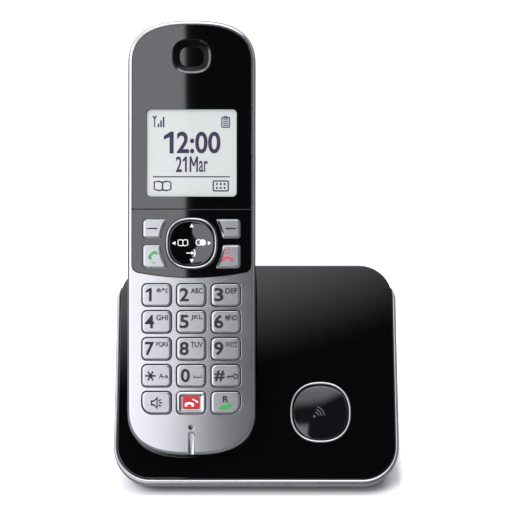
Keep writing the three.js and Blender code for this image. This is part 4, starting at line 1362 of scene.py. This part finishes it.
# ---------- studio ----------
def studio_world(studio):
    """A bright room: a large soft card at the front left, a lighter ceiling and a dim right side."""
    world = bpy.data.worlds.new("studio room")
    bpy.context.scene.world = world
    world.use_nodes = True
    nodes, link = world.node_tree.nodes, world.node_tree.links.new
    nodes.clear()
    out = nodes.new("ShaderNodeOutputWorld")
    place = nodes.new("ShaderNodeTexCoord")
    split = nodes.new("ShaderNodeSeparateXYZ")
    link(place.outputs["Generated"], split.inputs["Vector"])

    def ramp(source, low, high):
        node = nodes.new("ShaderNodeMapRange")
        node.interpolation_type = "SMOOTHSTEP"
        node.inputs["From Min"].default_value = low
        node.inputs["From Max"].default_value = high
        link(source, node.inputs["Value"])
        return node.outputs["Result"]

    def maths(operation, one, two):
        node = nodes.new("ShaderNodeMath")
        node.operation = operation
        for socket, value in zip(node.inputs, (one, two)):
            if isinstance(value, (int, float)):
                socket.default_value = value
            else:
                link(value, socket)
        return node.outputs[0]

    x, y, z = split.outputs["X"], split.outputs["Y"], split.outputs["Z"]
    ahead = ramp(y, 0.02, -0.1)
    card = maths("MULTIPLY", maths("MULTIPLY", ramp(x, -0.048, -0.05), ramp(x, -0.97, -0.85)), ahead)
    card = maths("MULTIPLY", card, maths("MULTIPLY", ramp(z, 0.1, 0.24), ramp(z, 0.67, 0.62)))
    dim_ceiling = ramp(maths("SUBTRACT", z, maths("MULTIPLY", x, 0.17)), 0.735, 0.8)
    bright_ceiling = ramp(z, 0.8, 0.95)
    left_wall = maths("MULTIPLY", ramp(x, -0.3, -0.9), ramp(z, -0.1, 0.2))
    right_wall = maths("MULTIPLY", ramp(x, 0.2, 0.8), ramp(z, -0.1, 0.2))
    behind = maths("MULTIPLY", ramp(y, 0.0, 0.5), ramp(z, -0.1, 0.2))
    ground = ramp(z, -0.05, -0.3)
    total = maths("MULTIPLY", card, studio.card_light)
    for part, strength in ((dim_ceiling, 1.15), (bright_ceiling, studio.ceiling_light), (left_wall, 0.9),
                           (right_wall, 0.3), (behind, 0.3), (ground, 0.3)):
        total = maths("ADD", total, maths("MULTIPLY", part, strength))
    total = maths("ADD", total, studio.room_light)
    room = nodes.new("ShaderNodeBackground")
    room.inputs["Color"].default_value = (0.965, 0.975, 1.03, 1)
    link(total, room.inputs["Strength"])
    seen = nodes.new("ShaderNodeBackground")
    seen.inputs["Color"].default_value = (1, 1, 1, 1)
    path = nodes.new("ShaderNodeLightPath")
    mix = nodes.new("ShaderNodeMixShader")
    link(path.outputs["Is Camera Ray"], mix.inputs[0])
    link(room.outputs[0], mix.inputs[1])
    link(seen.outputs[0], mix.inputs[2])
    link(mix.outputs[0], out.inputs["Surface"])


def softbox(name, place, target, width, height, power):
    light = bpy.data.lights.new(name, "AREA")
    light.shape = "RECTANGLE"
    light.size, light.size_y, light.energy = width, height, power
    lamp = bpy.data.objects.new(name, light)
    bpy.context.scene.collection.objects.link(lamp)
    lamp.location = place
    lamp.rotation_euler = (Vector(target) - Vector(place)).to_track_quat("-Z", "Y").to_euler()
    lamp.visible_glossy = False
    return lamp


def studio():
    """The pale floor, with painted light that wipes out its shadow away from the base, the soft light and the
    camera.
    """
    settings = bpy.context.scene.telephone_studio
    bm = bmesh.new()
    bmesh.ops.create_grid(bm, x_segments=1, y_segments=1, size=4)
    bmesh.ops.translate(bm, verts=bm.verts, vec=(0, 0, -0.00005))
    mesh = bpy.data.meshes.new("floor")
    bm.to_mesh(mesh)
    bm.free()
    floor = bpy.data.objects.new("floor", mesh)
    bpy.context.scene.collection.objects.link(floor)
    pale = finish_material("pale floor", (0.86, 0.86, 0.865), 0.7, 0.0, 300, 0.02, 0.05, 0.0, 0.01)
    nodes, link = pale.node_tree.nodes, pale.node_tree.links.new
    place = nodes.new("ShaderNodeTexCoord")
    split = nodes.new("ShaderNodeSeparateXYZ")
    link(place.outputs["Object"], split.inputs[0])
    across = nodes.new("ShaderNodeMath")
    across.operation = "ABSOLUTE"
    link(split.outputs["X"], across.inputs[0])
    # Painted light: outside a rectangle round the base the floor glows for camera rays only, which wipes out the
    # real shadow there; inside it the shadow stays, so only a tight dark line shows close under the base.
    lift = nodes.new("ShaderNodeLightPath").outputs["Is Camera Ray"]
    clear = []
    for source, low, high in ((across.outputs[0], 0.0545, 0.058), (split.outputs["Y"], -0.0446, -0.0462)):
        edge = nodes.new("ShaderNodeMapRange")
        edge.inputs["From Min"].default_value = low
        edge.inputs["From Max"].default_value = high
        link(source, edge.inputs["Value"])
        clear.append(edge.outputs["Result"])
    for operation, one, two in (("MAXIMUM", clear[0], clear[1]), ("MULTIPLY", None, lift),
                                ("MULTIPLY", None, 0.55)):
        step = nodes.new("ShaderNodeMath")
        step.operation = operation
        link(one or last, step.inputs[0])
        if isinstance(two, float):
            step.inputs[1].default_value = two
        else:
            link(two, step.inputs[1])
        last = step.outputs[0]
    shader = nodes["Principled BSDF"]
    link(last, shader.inputs["Emission Strength"])
    shader.inputs["Emission Color"].default_value = (1, 1, 1, 1)
    floor.data.materials.append(pale)
    floor.visible_glossy = False
    studio_world(settings)
    softbox("key softbox", (-0.55, -0.75, 1.0), (0, 0, 0.06), 0.5, 0.5, settings.key_power)
    camera = bpy.data.cameras.new("camera")
    camera.sensor_width = 36
    camera.lens = settings.lens
    camera.clip_start, camera.clip_end = 0.05, 30
    view = bpy.data.objects.new("camera", camera)
    bpy.context.scene.collection.objects.link(view)
    height = math.radians(settings.elevation)
    middle = Vector((0, 0, settings.middle_height))
    view.location = middle + settings.distance * Vector((0, -math.cos(height), math.sin(height)))
    aim = Vector((-0.00056, 0, settings.aim_height))
    view.rotation_euler = (aim - view.location).to_track_quat("-Z", "Y").to_euler()
    bpy.context.scene.camera = view
    bpy.context.scene.view_settings.view_transform = "Standard"


# ---------- settings, operators and panel ----------
def colour_setting(name, description, default):
    return bpy.props.FloatVectorProperty(name=name, description=description, default=default, size=3, min=0,
                                         max=1,
                                         subtype="COLOR")


def size_setting(name, description, default):
    return bpy.props.FloatProperty(name=name, description=description, default=default, min=0, precision=3)


class TelephoneFinish(bpy.types.PropertyGroup):
    casing: colour_setting("Casing", "Colour of the pearl silver casing", (0.62, 0.62, 0.64))
    keys: colour_setting("Keys", "Colour of the printed keys", (0.56, 0.57, 0.585))
    gloss: colour_setting("Gloss", "Colour of the polished black panels", (0.0012, 0.0012, 0.0015))
    display: colour_setting("Display", "Colour of the display's face", (0.345, 0.36, 0.352))


class TelephoneSizes(bpy.types.PropertyGroup):
    trim_width: size_setting("Trim width", "Width of the silver trim at the sides, in millimetres", 1.28)
    trim_foot: size_setting("Trim foot", "Extra width of the trim along the lower end, in millimetres", 1.1)
    ring_width: size_setting("Locator ring width", "Width of the locator ring, in millimetres", 0.8)
    key_shrink: size_setting("Key clearance", "What each digit key is drawn in by, in millimetres", 0.1)
    ear_depth: size_setting("Earpiece depth", "Depth of the plate in the earpiece, in millimetres", 1.62)


class TelephoneStudio(bpy.types.PropertyGroup):
    card_light: bpy.props.FloatProperty(name="Card light", description="Brightness of the large soft card",
                                        default=1.7)
    ceiling_light: bpy.props.FloatProperty(name="Ceiling light", description="Brightness of the ceiling",
                                           default=2.0)
    room_light: bpy.props.FloatProperty(name="Room light", description="Brightness of the rest of the room",
                                        default=0.012)
    key_power: bpy.props.FloatProperty(name="Key power", description="Power of the soft key light",
                                       default=9.0,
                                       unit="POWER")
    lens: bpy.props.FloatProperty(name="Lens", description="Focal length of the camera in millimetres",
                                  default=101.85)
    distance: bpy.props.FloatProperty(name="Distance", description="Distance of the camera from its aim",
                                      default=0.5553, unit="LENGTH")
    elevation: bpy.props.FloatProperty(name="Elevation", description="Height of the view in degrees",
                                       default=24.53)
    middle_height: bpy.props.FloatProperty(name="Middle height", description="Height that the camera circles",
                                           default=0.075, unit="LENGTH")
    aim_height: bpy.props.FloatProperty(name="Aim height", description="Height that the camera looks at",
                                        default=0.0794, unit="LENGTH")


class TELEPHONE_OT_casing(bpy.types.Operator):
    """Builds the front shell, the rear shell and the battery lid"""
    bl_idname = "telephone.casing"
    bl_label = "Handset casing"

    def execute(self, context):
        front_shell()
        rear_shell()
        battery_lid()
        return {"FINISHED"}


class TELEPHONE_OT_display(bpy.types.Operator):
    """Builds the display panel, the display and the earpiece"""
    bl_idname = "telephone.display"
    bl_label = "Display"

    def execute(self, context):
        display_panel()
        earpiece_grille()
        display_face()
        display_marks()
        return {"FINISHED"}


class TELEPHONE_OT_navigation(bpy.types.Operator):
    """Builds the fascia, the ring, the key and their marks"""
    bl_idname = "telephone.navigation"
    bl_label = "Navigation"

    def execute(self, context):
        navigation_fascia()
        ring_piece()
        navigation_key()
        navigation_marks()
        return {"FINISHED"}


class TELEPHONE_OT_keys(bpy.types.Operator):
    """Builds the keys and what is printed on them"""
    bl_idname = "telephone.keys"
    bl_label = "Keys"

    def execute(self, context):
        digit_keys()
        menu_keys()
        block_key()
        key_legends()
        menu_marks()
        return {"FINISHED"}


class TELEPHONE_OT_base(bpy.types.Operator):
    """Builds the face of the base and its trim"""
    bl_idname = "telephone.base"
    bl_label = "Base"

    def execute(self, context):
        base_face()
        trim_band()
        return {"FINISHED"}


class TELEPHONE_OT_locator(bpy.types.Operator):
    """Builds the locator button and its ring"""
    bl_idname = "telephone.locator"
    bl_label = "Locator"

    def execute(self, context):
        locator_ring()
        locator_button()
        locator_mark()
        return {"FINISHED"}


class TELEPHONE_OT_inner_parts(bpy.types.Operator):
    """Gives the parts that keep their shape a finish"""
    bl_idname = "telephone.inner_parts"
    bl_label = "Inner parts"

    def execute(self, context):
        hidden_parts()
        return {"FINISHED"}


class TELEPHONE_OT_studio(bpy.types.Operator):
    """Builds the floor, the light and the camera"""
    bl_idname = "telephone.studio"
    bl_label = "Studio"

    def execute(self, context):
        studio()
        return {"FINISHED"}


OPERATORS = [TELEPHONE_OT_casing, TELEPHONE_OT_display, TELEPHONE_OT_navigation, TELEPHONE_OT_keys,
             TELEPHONE_OT_base, TELEPHONE_OT_locator, TELEPHONE_OT_inner_parts, TELEPHONE_OT_studio]


class TELEPHONE_PT_build(bpy.types.Panel):
    """Lists the pieces of the telephone"""
    bl_label = "Telephone"
    bl_space_type = "VIEW_3D"
    bl_region_type = "UI"
    bl_category = "Telephone"

    def draw(self, context):
        scene = context.scene
        for settings in (scene.telephone_sizes, scene.telephone_finish, scene.telephone_studio):
            box = self.layout.box()
            for name in settings.bl_rna.properties.keys():
                if name not in {"rna_type", "name"}:
                    box.prop(settings, name)
        for each in OPERATORS:
            self.layout.operator(each.bl_idname)


CLASSES = [TelephoneSizes, TelephoneFinish, TelephoneStudio, *OPERATORS, TELEPHONE_PT_build]


def register():
    for each in CLASSES:
        bpy.utils.register_class(each)
    bpy.types.Scene.telephone_sizes = bpy.props.PointerProperty(type=TelephoneSizes)
    bpy.types.Scene.telephone_finish = bpy.props.PointerProperty(type=TelephoneFinish)
    bpy.types.Scene.telephone_studio = bpy.props.PointerProperty(type=TelephoneStudio)


def unregister():
    del bpy.types.Scene.telephone_sizes, bpy.types.Scene.telephone_finish, bpy.types.Scene.telephone_studio
    for each in reversed(CLASSES):
        bpy.utils.unregister_class(each)


def main():
    register()
    for each in OPERATORS:
        group, name = each.bl_idname.split(".")
        getattr(getattr(bpy.ops, group), name)()


if __name__ == "__main__":
    main()
